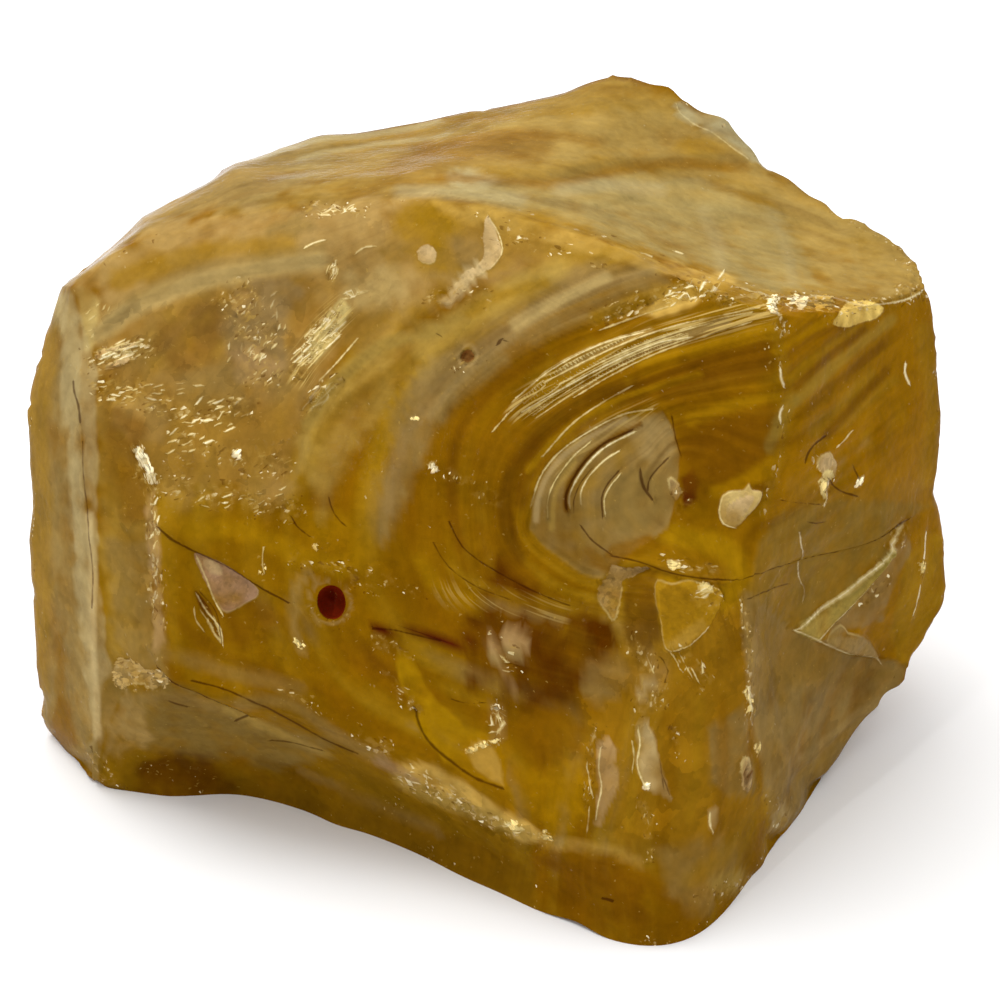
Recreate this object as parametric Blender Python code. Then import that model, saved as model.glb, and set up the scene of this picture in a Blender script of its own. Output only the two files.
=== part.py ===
# Slag glass cullet: one chunk of opaque amber glass, about 12 cm across, broken on every side.
# Metres, +Z up, -Y is the broad swirled face, the chunk stands on its flat underside at z = 0.
import math

import bmesh
import bpy
from mathutils import Matrix, Vector, noise

MM = 0.001
SMOOTHING_LEVELS = 2

# The chunk is drawn as six outlines, one above the other, each with a corner in every column.
# The columns run from the narrow left end along the front, round the right face and the back.
COLUMNS = ("left edge", "left bevel", "left rib", "front 1", "front 2", "front 3", "front 4",
           "front 5", "front 6", "right edge", "right 1", "right 2", "right 3",
           "back 1", "back 2", "back 3", "back 4", "back 5", "back 6", "back 7", "back 8",
           "back 9", "end 1", "end 2")
OUTLINES = {
    "crest": [(-55, 6, 70), (-52, 8, 72), (-46, 13, 75), (-32, 11, 78), (-21, 8, 81), (-9, 5, 83),
              (2, 0, 82), (12, -5, 81), (23, -9, 79), (34, -14, 78), (42, -6, 73), (49, 3, 69),
              (56, 12, 67), (56, 21, 69), (49, 31, 71), (37, 43, 74), (31, 51, 81), (16, 57, 81),
              (0, 54, 76), (-17, 51, 75), (-31, 48, 73), (-44, 40, 69), (-54, 28, 66),
              (-58, 13, 67)],
    "brow": [(-54, 1, 63), (-52, -1, 64), (-45, 2, 65), (-32, -1, 68), (-20, -4, 70), (-9, -8, 72),
             (2, -12, 74), (13, -14, 73), (23, -16, 72), (33, -18, 69), (43, -9, 62), (51, 1, 58),
             (59, 12, 52), (58, 22, 55), (53, 36, 58), (41, 45, 58), (29, 54, 60), (20, 62, 62),
             (1, 57, 58), (-17, 53, 57), (-35, 53, 56), (-48, 42, 54), (-58, 28, 53),
             (-63, 10, 57)],
    "waist": [(-54, -4, 51), (-52, -6, 52), (-44, -11, 50), (-32, -11, 53), (-20, -15, 54),
              (-8, -18, 54), (3, -22, 53), (14, -25, 53), (23, -26, 54), (32, -26, 53),
              (42, -12, 50), (51, 0, 46), (59, 13, 35), (60, 23, 39), (56, 38, 44), (42, 45, 42),
              (29, 54, 43), (18, 64, 43), (0, 58, 42), (-19, 54, 41), (-39, 54, 41),
              (-51, 40, 39), (-61, 26, 38), (-64, 9, 44)],
    "belly": [(-53, -7, 37), (-52, -9, 38), (-44, -15, 37), (-32, -17, 36), (-20, -21, 34),
              (-9, -24, 31), (3, -29, 30), (14, -33, 29), (25, -33, 29), (31, -28, 34),
              (42, -12, 34), (52, 0, 33), (62, 12, 23), (61, 23, 27), (56, 36, 29), (43, 46, 26),
              (28, 56, 26), (11, 62, 27), (-4, 59, 26), (-22, 55, 27), (-40, 51, 28),
              (-53, 36, 25), (-62, 23, 25), (-63, 7, 29)],
    "ledge": [(-54, -7, 15), (-50, -10, 22), (-44, -17, 25), (-32, -20, 23), (-21, -24, 21),
              (-10, -27, 16), (3, -33, 11), (14, -38, 12), (25, -37, 11), (34, -25, 15),
              (42, -10, 11), (52, 4, 9), (61, 11, 16), (55, 21, 13), (49, 31, 14), (37, 39, 12),
              (24, 45, 12), (6, 50, 13), (-7, 46, 11), (-23, 42, 12), (-39, 41, 13),
              (-51, 31, 11), (-62, 19, 11), (-66, 8, 11)],
    "foot": [(-56, -4, 0), (-53, -5, 0), (-45, -7, 0), (-35, -5, 0), (-22, -13, 0), (-11, -20, 0),
             (2, -31, 0), (15, -42, 0), (26, -41, 0), (34, -23, 0), (39, -14, 0), (44, -4, 0),
             (47, 6, 0), (47, 16, 0), (43, 26, 0), (32, 33, 0), (19, 37, 0), (3, 40, 0),
             (-9, 38, 0), (-23, 34, 0), (-37, 33, 0), (-49, 25, 0), (-59, 16, 0), (-63, 9, 0)],
}
# One row of corners across the top face, from the left end to the right.
TOP_ROW = [(-45, 28, 74), (-32, 30, 78), (-19, 30, 80), (-4, 30, 81), (9, 28, 79), (19, 25, 76),
           (30, 19, 72), (41, 10, 70), (49, 9, 68)]

# How crisp the breaks are: 1 keeps an edge sharp, 0 rounds it away.
OUTLINE_BREAKS = [
    ("crest", "left edge", "left rib", 0.7), ("crest", "left rib", "front 2", 0.3),
    ("crest", "front 2", "front 3", 0.6), ("crest", "front 3", "back 2", 1.0),
    ("crest", "back 2", "left edge", 0.9),
    ("belly", "back 2", "back 8", 0.9),
    ("ledge", "left bevel", "front 4", 1.0), ("ledge", "front 4", "front 6", 0.5),
    ("ledge", "right 1", "back 2", 0.8),
    ("foot", "left edge", "left edge", 1.0),
]
COLUMN_BREAKS = [
    ("left edge", "crest", "foot", 1.0), ("left bevel", "brow", "foot", 0.9),
    ("left rib", "waist", "foot", 0.9), ("right edge", "crest", "belly", 1.0),
    ("right edge", "belly", "foot", 0.8), ("right 3", "crest", "ledge", 0.7),
    ("back 2", "crest", "foot", 1.0), ("back 5", "crest", "foot", 1.0),
    ("back 8", "crest", "foot", 0.9), ("end 2", "crest", "foot", 0.5),
]

# Shell-shaped scars where flakes came away, in the order they broke: middle, radius and depth.
SCARS = {
    "top": ((34, 17, 73), 22, 2.0),
    "top back": ((-22, 36, 80), 24, 1.6),
    "cheek": ((-33, -3, 64), 20, 0.9),
    "swirl": ((14, -20, 61), 24, 1.8),
    "eye of the swirl": ((12, -23, 54), 11, 1.0),
    "left strip": ((-48, -9, 38), 11, 1.6),
    "undercut": ((-38, -13, 11), 15, 1.6),
    "under lobe": ((-2, -30, 7), 13, 1.4),
    "right brow": ((47, -4, 62), 16, 1.1),
    "right face": ((41, -13, 33), 16, 2.2),
    "right foot": ((47, -1, 14), 13, 1.4),
    "right end": ((60, 24, 42), 16, 2.2),
    "back high": ((31, 54, 47), 22, 3.4),
    "back corner": ((37, 42, 14), 17, 2.4),
    "back wide": ((-15, 55, 46), 25, 3.6),
    "back low": ((-16, 46, 12), 20, 2.6),
    "back heel": ((12, 56, 19), 13, 1.5),
    "back chip": ((2, 60, 66), 12, 1.6),
    "end": ((-59, 29, 41), 19, 2.8),
    "end low": ((-57, 24, 13), 15, 2.0),
    "end high": ((-55, 30, 62), 12, 1.4),
}
# Soft swellings that stand between the scars: middle, radius and height.
SWELLINGS = {
    "bulge under the swirl": ((3, -28, 37), 15, 1.4),
    "front lobe": ((21, -40, 9), 12, 1.0),
    "shell flake": ((51, -1, 27), 9, 1.8),
    "step": ((23, -29, 44), 7, 1.2),
    "shoulder": ((-25, 4, 77), 14, 0.8),
}
WAVE_HEIGHT, WAVE_LENGTH = 0.6, 14
FLAT_MARGIN = 3             # waves and scars fade in over this height above the underside
KEEP_HEIGHT = 0.5           # a corner comes down to this share of its height at most
SEEN_DEPTH = 20             # scars nearer than this get a mesh twice as fine

# Burst bubbles in the front face: middle, radii across and up, depth.
BUBBLES = {
    "large bubble": ((-21.4, -19.4, 37.6), (1.9, 2.3), 3.6),
    "small bubble": ((-4.1, -11.4, 68.3), (1.1, 1.0), 1.8),
}
BUBBLE_TILT = math.radians(62)


def clear_scene():
    for item in list(bpy.context.scene.objects):
        bpy.data.objects.remove(item, do_unlink=True)


def columns_between(first, last):
    start = COLUMNS.index(first)
    steps = (COLUMNS.index(last) - start) % len(COLUMNS) or len(COLUMNS)
    return [(start + step) % len(COLUMNS) for step in range(steps + 1)]


def build_cage():
    """Skin the outlines, close the top and the underside, and crease the breaks."""
    bm = bmesh.new()
    crease = bm.edges.layers.float.new("crease_edge")
    rows = {name: [bm.verts.new(Vector(corner) * MM) for corner in corners]
            for name, corners in OUTLINES.items()}
    names = list(OUTLINES)
    count = len(COLUMNS)
    for upper, lower in zip(names, names[1:]):
        for i in range(count):
            j = (i + 1) % count
            bm.faces.new((rows[upper][i], rows[lower][i], rows[lower][j], rows[upper][j]))
    close_top(bm, rows["crest"])
    close_underside(bm, rows["foot"])

    def set_crease(a, b, value):
        edge = bm.edges.get((a, b))
        edge[crease] = value

    for name, first, last, value in OUTLINE_BREAKS:
        path = columns_between(first, last)
        for i, j in zip(path, path[1:]):
            set_crease(rows[name][i], rows[name][j], value)
    for column, first, last, value in COLUMN_BREAKS:
        i = COLUMNS.index(column)
        for upper, lower in zip(names[names.index(first):], names[names.index(first) + 1:]):
            set_crease(rows[upper][i], rows[lower][i], value)
            if lower == last:
                break
    bmesh.ops.recalc_face_normals(bm, faces=bm.faces)
    return bm


def close_top(bm, crest):
    """The top face: strips from the front of the crest over a middle row to its back."""
    middle = [bm.verts.new(Vector(corner) * MM) for corner in TOP_ROW]
    front, back = front_and_back(crest)
    strips(bm, front, middle)
    strips(bm, middle, back)
    close_ends(bm, crest, front, middle, back)


def close_underside(bm, foot):
    """The flat underside, in the same strips as the top."""
    front, back = front_and_back(foot)
    middle = [bm.verts.new((a.co + b.co) / 2) for a, b in zip(front, back)]
    strips(bm, front, middle)
    strips(bm, middle, back)
    close_ends(bm, foot, front, middle, back)


def front_and_back(ring):
    front = ring[COLUMNS.index("left rib"):COLUMNS.index("right 1") + 1]
    back = ring[COLUMNS.index("back 1"):COLUMNS.index("back 9") + 1][::-1]
    return front, back


def strips(bm, near, far):
    for i in range(len(near) - 1):
        bm.faces.new((near[i], near[i + 1], far[i + 1], far[i]))


def close_ends(bm, ring, front, middle, back):
    corner = {name: ring[COLUMNS.index(name)]
              for name in ("left edge", "left bevel", "end 1", "end 2", "right 2", "right 3")}
    bm.faces.new((corner["end 2"], corner["left edge"], corner["left bevel"], corner["end 1"]))
    bm.faces.new((corner["end 1"], corner["left bevel"], front[0], middle[0]))
    bm.faces.new((corner["end 1"], middle[0], back[0]))
    bm.faces.new((front[-1], corner["right 2"], corner["right 3"], back[-1], middle[-1]))


def carve(bm):
    """Raise the swellings and the long waves of the break, then strike the scars."""
    spots = [(Vector(middle) * MM, radius * MM) for middle, radius, _ in SCARS.values()]

    def seen(edge):
        middle = (edge.verts[0].co + edge.verts[1].co) / 2
        return 0 < middle.z and middle.y < SEEN_DEPTH * MM and any(
            (middle - spot).length < radius for spot, radius in spots)

    bmesh.ops.subdivide_edges(bm, edges=[edge for edge in bm.edges if seen(edge)],
                              cuts=1, smooth=0.5, use_grid_fill=True)
    bmesh.ops.triangulate(bm, faces=[face for face in bm.faces if len(face.verts) > 4])
    bm.normal_update()
    raise_surface(bm)
    bm.normal_update()
    for middle, radius, depth in SCARS.values():
        strike(bm, Vector(middle) * MM, radius * MM, depth * MM)


def above_ground(vert):
    """0 on the underside, growing to 1 a little way up, so that the underside stays flat."""
    return min(vert.co.z / (FLAT_MARGIN * MM), 1.0)


def raise_surface(bm):
    moves = []
    for vert in bm.verts:
        height = noise.noise(vert.co / (WAVE_LENGTH * MM)) * WAVE_HEIGHT * MM
        for middle, radius, rise in SWELLINGS.values():
            reach = (vert.co - Vector(middle) * MM).length / (radius * MM)
            if reach < 1:
                height += rise * MM * (1 - reach * reach) ** 2
        moves.append(vert.normal * height * above_ground(vert))
    for vert, move in zip(bm.verts, moves):
        shift_vert(vert, move)


def shift_vert(vert, move):
    """Move a corner, but never down to the ground that the underside stands on."""
    height = vert.co.z
    vert.co += move
    vert.co.z = max(vert.co.z, height * KEEP_HEIGHT)


def strike(bm, middle, radius, depth):
    """Press the surface out of a ball, which leaves a shallow shell with a crisp rim."""
    nearest = min(bm.verts, key=lambda vert: (vert.co - middle).length_squared)
    ball = (radius ** 2 + depth ** 2) / (2 * depth)
    centre = nearest.co + nearest.normal * (ball - depth)
    for vert in bm.verts:
        away = vert.co - centre
        if away.length < ball:
            shift_vert(vert, away.normalized() * (ball - away.length) * above_ground(vert))


def stand_on_origin(mesh):
    """Put the middle of the box at the origin and the underside at z = 0."""
    corners = [vert.co for vert in mesh.vertices]
    low = Vector([min(co[axis] for co in corners) for axis in range(3)])
    high = Vector([max(co[axis] for co in corners) for axis in range(3)])
    shift = Vector((-(low.x + high.x) / 2, -(low.y + high.y) / 2, -low.z))
    mesh.transform(Matrix.Translation(shift))
    return shift


def bubble_cutter(name, middle, radii, depth):
    """An egg-shaped cutter that lies along the way into the glass."""
    bpy.ops.mesh.primitive_uv_sphere_add(segments=16, ring_count=8, radius=1, location=middle)
    cutter = bpy.context.object
    cutter.name = name + " cutter"
    cutter.rotation_euler = (BUBBLE_TILT, 0, 0)
    cutter.scale = (radii[0] * MM, radii[1] * MM, depth * MM)
    cutter.display_type = "WIRE"
    cutter.hide_render = True
    return cutter


def glass_material():
    material = bpy.data.materials.new("amber_slag_glass")
    material.use_nodes = True
    shader = material.node_tree.nodes["Principled BSDF"]
    shader.inputs["Base Color"].default_value = (0.42, 0.20, 0.035, 1.0)
    shader.inputs["Roughness"].default_value = 0.2
    shader.inputs["IOR"].default_value = 1.52
    return material


def main():
    clear_scene()
    cage = build_cage()
    mesh = bpy.data.meshes.new("glass_chunk")
    cage.to_mesh(mesh)
    cage.free()
    chunk = bpy.data.objects.new("glass_chunk", mesh)
    bpy.context.scene.collection.objects.link(chunk)
    bpy.context.view_layer.objects.active = chunk
    smoothing = chunk.modifiers.new("smoothing", "SUBSURF")
    smoothing.levels = SMOOTHING_LEVELS
    smoothing.render_levels = SMOOTHING_LEVELS
    bpy.ops.object.modifier_apply(modifier=smoothing.name)

    surface = bmesh.new()
    surface.from_mesh(mesh)
    carve(surface)
    surface.to_mesh(mesh)
    surface.free()
    shift = stand_on_origin(mesh)
    for name, (middle, radii, depth) in BUBBLES.items():
        cut = chunk.modifiers.new(name, "BOOLEAN")
        cut.operation = "DIFFERENCE"
        cut.solver = "EXACT"
        cut.object = bubble_cutter(name, Vector(middle) * MM + shift, radii, depth)
    mesh.shade_smooth()
    mesh.set_sharp_from_angle(angle=math.radians(30))
    mesh.materials.append(glass_material())


main()
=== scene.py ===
import math

import bmesh
import bpy
import numpy as np
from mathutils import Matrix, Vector, kdtree, noise


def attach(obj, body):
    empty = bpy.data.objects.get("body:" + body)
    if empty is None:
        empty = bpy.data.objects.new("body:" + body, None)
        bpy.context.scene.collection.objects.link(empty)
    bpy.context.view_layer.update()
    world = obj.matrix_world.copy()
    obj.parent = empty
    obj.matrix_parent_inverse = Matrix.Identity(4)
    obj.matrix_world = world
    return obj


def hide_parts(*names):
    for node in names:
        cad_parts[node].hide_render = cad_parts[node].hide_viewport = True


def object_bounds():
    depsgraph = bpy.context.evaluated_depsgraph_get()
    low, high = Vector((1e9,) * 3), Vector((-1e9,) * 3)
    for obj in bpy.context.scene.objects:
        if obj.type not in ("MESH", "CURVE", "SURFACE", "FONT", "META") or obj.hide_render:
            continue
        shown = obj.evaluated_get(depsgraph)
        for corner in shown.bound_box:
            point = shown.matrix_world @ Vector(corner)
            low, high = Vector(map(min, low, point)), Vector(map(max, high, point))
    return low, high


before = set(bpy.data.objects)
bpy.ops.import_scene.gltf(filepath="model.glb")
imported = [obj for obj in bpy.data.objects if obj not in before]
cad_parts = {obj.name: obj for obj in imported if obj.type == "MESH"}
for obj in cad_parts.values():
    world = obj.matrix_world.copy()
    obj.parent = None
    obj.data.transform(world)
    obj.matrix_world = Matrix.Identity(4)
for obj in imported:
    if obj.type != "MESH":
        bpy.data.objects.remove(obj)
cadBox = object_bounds()
mm = 0.001

# the camera stands in front of the swirled face and looks down on it
view = {"elevation": 28.0, "distance": 400.0, "target": (1.36, -10.9, 42.0), "lens": 109.44,
        "sensor": 36.0, "nearClip": 0.01,
        "sheetSize": 1000.0, "unitsPerMm": 7.6}     # the picture plane; a mm of glass takes 7.6 of its units


def viewAxes():
    tilt = math.radians(view["elevation"])
    ahead = Vector((0, math.cos(tilt), -math.sin(tilt)))
    up = Vector((0, math.sin(tilt), math.cos(tilt)))
    place = Vector(view["target"]) - ahead * view["distance"]
    return place, ahead, up


def addCamera():
    place, ahead, up = viewAxes()
    bpy.ops.object.camera_add(location=place * mm, rotation=(math.radians(90 - view["elevation"]), 0, 0))
    camera = bpy.context.object
    camera.name = "camera"
    camera.data.lens = view["lens"]
    camera.data.sensor_width = view["sensor"]
    camera.data.clip_start = view["nearClip"]
    bpy.context.scene.camera = camera


def hexToLinear(code):
    parts = [int(code[i:i + 2], 16) / 255 for i in (1, 3, 5)]
    return np.array([p / 12.92 if p <= 0.04045 else ((p + 0.055) / 1.055) ** 2.4 for p in parts])


# the mesh of the chunk
chunk = {"merge": 0.00001, "sharpFrom": 27, "levels": 2, "shadeSharpFrom": 38,
         "quadFace": 50, "quadShape": 60,      # degrees within which two triangles are joined to a quad
         "leastFacing": 0.05}                  # a face that looks less than this at the camera stays coarse
# where the swirl and the chips need a mesh twice as fine, as outlines on the sheet
fineZones = {
    "swirl": [(508, 405), (560, 345), (660, 305), (755, 290), (770, 322), (700, 350), (684, 400), (690, 500),
        (700, 560), (640, 600), (600, 620), (560, 585), (522, 545)],
    "chip": [(712, 480), (770, 480), (760, 532), (715, 532)],
    "step": [(654, 572), (726, 576), (722, 620), (690, 656), (658, 654)],
    "nose": [(586, 736), (674, 718), (674, 805), (606, 830), (590, 830)],
    "corner": [(760, 290), (890, 296), (890, 328), (780, 320)],
    "star": [(804, 430), (862, 440), (862, 500), (812, 508)],
    "shell": [(784, 640), (845, 580), (905, 512), (920, 530), (896, 590), (884, 670), (845, 662)],
    "gleam": [(284, 388), (300, 330), (322, 300), (350, 300), (345, 345), (318, 415), (296, 415)],
    "flake": [(392, 645), (412, 655), (440, 700), (500, 732), (512, 795), (450, 770), (404, 720)],
    "wing": [(188, 546), (226, 552), (264, 590), (250, 612), (226, 650), (190, 630)]}


def selectNothing():
    for item in list(bpy.context.selected_objects):
        item.select_set(False)


def copyOfNode(nodeName, newName):
    selectNothing()
    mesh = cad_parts[nodeName].data.copy()
    mesh.name = newName
    piece = bpy.data.objects.new(newName, mesh)
    bpy.context.scene.collection.objects.link(piece)
    piece.select_set(True)
    bpy.context.view_layer.objects.active = piece
    bpy.ops.object.mode_set(mode="EDIT")
    bpy.ops.mesh.select_all(action="SELECT")
    bpy.ops.mesh.remove_doubles(threshold=chunk["merge"])
    bpy.ops.mesh.tris_convert_to_quads(face_threshold=math.radians(chunk["quadFace"]),
                                       shape_threshold=math.radians(chunk["quadShape"]))
    bpy.ops.mesh.select_all(action="DESELECT")
    bpy.ops.mesh.select_mode(type="EDGE")
    bpy.ops.mesh.edges_select_sharp(sharpness=math.radians(chunk["sharpFrom"]))
    bpy.ops.transform.edge_crease(value=1)
    bpy.ops.object.mode_set(mode="OBJECT")
    return piece


def refine(piece, levels):
    finer = piece.modifiers.new("finer", "SUBSURF")
    finer.levels = levels
    finer.render_levels = levels
    bpy.ops.object.modifier_apply(modifier=finer.name)


def readVectors(source, key):
    flat = np.empty(len(source) * 3, np.float32)
    source.foreach_get(key, flat)
    return flat.reshape(-1, 3).astype(float)


# the sheet is the picture plane of the camera, 1000 units square, on which all outlines and lines are drawn
def sheetPlaces(co):
    place, ahead, up = (np.array(v) for v in viewAxes())
    away = co - place
    depth = away @ ahead
    focal = view["lens"] / view["sensor"] * view["sheetSize"]
    half = view["sheetSize"] / 2
    return np.stack([half + focal * away[:, 0] / depth, half - focal * (away @ up) / depth], 1)


# distance to a curve, which side of it (+ is the right hand when walking along it), and how far past its ends
def nearLine(places, curve):
    best = np.full(len(places), 1e9)
    side = np.zeros(len(places))
    past = np.zeros(len(places))
    last = len(curve) - 2
    for i in range(len(curve) - 1):
        a = curve[i]
        ab = curve[i + 1] - a
        length = np.linalg.norm(ab) + 1e-9
        ap = places - a
        t = ap @ ab / length ** 2
        held = np.clip(t, 0, 1)
        d = np.hypot(ap[:, 0] - held * ab[0], ap[:, 1] - held * ab[1])
        closer = d < best
        best[closer] = d[closer]
        side[closer] = ((ab[0] * ap[:, 1] - ab[1] * ap[:, 0]) / length)[closer]
        over = np.zeros(len(places))
        if i == 0:
            over = np.maximum(over, -t * length)
        if i == last:
            over = np.maximum(over, (t - 1) * length)
        past[closer] = over[closer]
    return best, np.sign(side) * best, past


# distance to the edge of a closed outline, positive inside it
def insideOutline(places, outline):
    ring = np.concatenate([outline, outline[:1]])
    best, _, _ = nearLine(places, ring)
    inside = np.zeros(len(places), bool)
    x, y = places[:, 0], places[:, 1]
    for (x0, y0), (x1, y1) in zip(ring[:-1], ring[1:]):
        crossing = (y0 > y) != (y1 > y)
        inside ^= crossing & (x < (x1 - x0) * (y - y0) / (y1 - y0 + 1e-12) + x0)
    return np.where(inside, best, -best)


def refineZones(piece):
    bm = bmesh.new()
    bm.from_mesh(piece.data)
    middles = np.array([face.calc_center_median() for face in bm.faces]) / mm
    normals = np.array([face.normal for face in bm.faces])
    toward = np.array(viewAxes()[0]) - middles
    ahead = (normals * toward).sum(1) > chunk["leastFacing"] * np.linalg.norm(toward, axis=1)
    places = sheetPlaces(middles)
    wanted = np.zeros(len(middles), bool)
    for outline in fineZones.values():
        wanted |= ahead & (insideOutline(places, np.array(outline, float)) > 0)
    bm.faces.ensure_lookup_table()
    edges = {edge for i in np.nonzero(wanted)[0] for edge in bm.faces[i].edges}
    bmesh.ops.subdivide_edges(bm, edges=list(edges), cuts=1, use_grid_fill=True)
    bm.to_mesh(piece.data)
    bm.free()


addCamera()
glass = copyOfNode("glass_chunk", "amberGlassChunk")
refine(glass, chunk["levels"])
refineZones(glass)
mesh = glass.data
print("chunk refined:", sum(len(face.vertices) - 2 for face in mesh.polygons), "triangles")

co = readVectors(mesh.vertices, "co") / mm
normal = readVectors(mesh.vertices, "normal")
sheet = sheetPlaces(co)
toCamera = np.array(viewAxes()[0]) - co
toCamera /= np.linalg.norm(toCamera, axis=1)[:, None]
facing = (normal * toCamera).sum(1)


def ease(x, low, high):
    t = np.clip((x - low) / (high - low), 0, 1)
    return t * t * (3 - 2 * t)


# how far a face has to look at the camera to be drawn on: not at all, first, and in full
sight = {"past": -0.05, "first": 0.0, "full": 0.12}
seen = ease(facing, sight["first"], sight["full"])


def noiseField(scale, seed):
    offset = Vector((seed * 13.7, seed * 7.1, seed * 3.3))
    return np.array([noise.noise(Vector(p) / scale + offset) for p in co])


lumps = {"coarse": 16.0, "middle": 5.0, "fine": 1.7}     # mm
coarse = noiseField(lumps["coarse"], 1)
middle = noiseField(lumps["middle"], 2)
fine = noiseField(lumps["fine"], 3)
print("noise fields ready")


# a smooth curve through a few places on the sheet
def curveThrough(places, closed=False, step=6.0):
    p = np.array(places, float)
    count = len(p)
    if count < 3:
        return p
    ends = (p[-1:], p[:1]) if closed else (2 * p[:1] - p[1:2], 2 * p[-1:] - p[-2:-1])
    padded = np.concatenate([ends[0], p, ends[1]] + ([p[1:2]] if closed else []))
    curve = []
    for i in range(1, count + 1 if closed else count):
        a, b, c, d = padded[i - 1:i + 3]
        pieces = max(2, int(np.linalg.norm(c - b) / step))
        for t in np.arange(pieces) / pieces:
            curve.append(0.5 * (2 * b + (c - a) * t + (2 * a - 5 * b + 4 * c - d) * t ** 2
                                + (3 * b - a - 3 * c + d) * t ** 3))
    if not closed:
        curve.append(p[-1])
    return np.array(curve)


def around(curve, margin):
    low = curve.min(0) - margin
    high = curve.max(0) + margin
    return np.nonzero(((sheet > low) & (sheet < high)).all(1) & (facing > sight["past"]))[0]


# the flow of the glass: lines that one layer follows on the broken face, with how far out the layer lies
swirl = {
    "stiffness": 900.0, "step": 26.0,
    "layers": [
        (-55, [(668, 448), (650, 470), (643, 492)]),
        (-35, [(606, 518), (603, 498), (610, 483), (622, 470), (650, 452)]),
        (-16, [(585, 520), (581, 492), (590, 474), (605, 460), (620, 450), (650, 430)]),
        (0, [(608, 582), (583, 576), (562, 562), (541, 547), (528, 531), (531, 510), (541, 477), (562, 451),
             (595, 429), (623, 415), (660, 400), (710, 388), (772, 376)]),
        (32, [(665, 612), (610, 600), (565, 588), (535, 568), (512, 540), (506, 500), (520, 455), (548, 425),
              (583, 401), (640, 380), (700, 360), (765, 340)]),
        (62, [(660, 640), (600, 622), (540, 602), (505, 582), (484, 555), (479, 490), (496, 440), (526, 410),
              (562, 389), (609, 364), (656, 342), (700, 331), (762, 312)]),
        (100, [(630, 668), (580, 652), (520, 632), (470, 606), (448, 570), (443, 500), (449, 440), (462, 405),
               (489, 380), (524, 354), (562, 333), (595, 321), (640, 303), (700, 285)]),
        (155, [(580, 700), (490, 672), (420, 636), (385, 580), (382, 500), (398, 440), (430, 385), (480, 340),
               (540, 300), (600, 268), (650, 255)]),
        (205, [(540, 735), (480, 712), (400, 676), (348, 620), (330, 560), (335, 480), (362, 400), (415, 340),
               (470, 298), (530, 258), (570, 236)]),
        (255, [(500, 775), (440, 742), (360, 700), (310, 640), (288, 570), (288, 500), (302, 440), (335, 375),
               (385, 322), (440, 286), (490, 245), (520, 220)]),
        (305, [(480, 815), (400, 778), (320, 730), (262, 660), (234, 580), (232, 480), (255, 415), (300, 350),
               (345, 305), (400, 262), (452, 210)]),
        (355, [(420, 840), (340, 800), (260, 742), (208, 670), (182, 590), (178, 520), (192, 440), (225, 370),
               (275, 308), (330, 268), (400, 232), (440, 200)]),
        (405, [(220, 760), (160, 690), (128, 600), (120, 520), (122, 460), (148, 380), (190, 322), (250, 278),
               (320, 246), (400, 214)]),
        (455, [(60, 480), (90, 380), (130, 310), (190, 262), (270, 228), (360, 206)]),
        (505, [(30, 330), (90, 270), (150, 238), (230, 210), (330, 190)]),
        (-20, [(690, 720), (680, 780), (672, 850)]),
        (40, [(640, 760), (628, 800), (615, 850)]),
        (-70, [(745, 640), (755, 720), (750, 820)]),
        (32, [(780, 340), (835, 300), (900, 255)]),
        (0, [(775, 376), (830, 335), (900, 285)]),
        (-38, [(778, 440), (840, 392), (940, 320)]),
        (-72, [(775, 500), (840, 450), (940, 375)]),
        (-108, [(770, 545), (850, 485), (945, 415)]),
        (-140, [(775, 600), (850, 545), (945, 470)]),
        (-175, [(780, 650), (850, 600), (950, 530)]),
        (-235, [(780, 780), (850, 710), (950, 620)])]}

topSheets = {
    "stiffness": 900.0, "step": 26.0,
    "layers": [
        (0, [(150, 240), (250, 205), (340, 198), (430, 188), (520, 205), (640, 240), (740, 275), (860, 300)]),
        (26, [(170, 215), (260, 180), (350, 172), (440, 165), (520, 182), (620, 200), (720, 222),
              (850, 262)]),
        (52, [(200, 190), (300, 150), (400, 142), (500, 143), (600, 163), (680, 170), (780, 195)]),
        (78, [(260, 150), (360, 122), (450, 112), (540, 118), (620, 130), (700, 135), (760, 150)]),
        (104, [(450, 85), (540, 88), (620, 96), (700, 100)])]}


def thinPlate(r):
    return r ** 2 * np.log(r + 1e-9)


# a thin plate bent through the traced layers gives every place its own layer number
def layerNumbers(flow, places):
    knots = []
    levels = []
    for level, line in flow["layers"]:
        for place in curveThrough(line, step=flow["step"]):
            knots.append(place)
            levels.append(level)
    knots = np.array(knots) / 100
    count = len(knots)
    spread = np.linalg.norm(knots[:, None] - knots[None], axis=2)
    matrix = np.zeros((count + 3, count + 3))
    matrix[:count, :count] = thinPlate(spread) + np.eye(count) * flow["stiffness"] * 1e-5
    matrix[:count, count] = 1
    matrix[:count, count + 1:] = knots
    matrix[count:, :count] = matrix[:count, count:].T
    weights = np.linalg.solve(matrix, np.array(levels + [0, 0, 0], float))
    numbers = np.empty(len(places))
    for start in range(0, len(places), 8000):       # in parts, so that it stays small in memory
        part = slice(start, start + 8000)
        p = places[part] / 100
        d = np.linalg.norm(p[:, None] - knots[None], axis=2)
        numbers[part] = thinPlate(d) @ weights[:count] + weights[count] + p @ weights[count + 1:]
    return numbers


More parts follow.
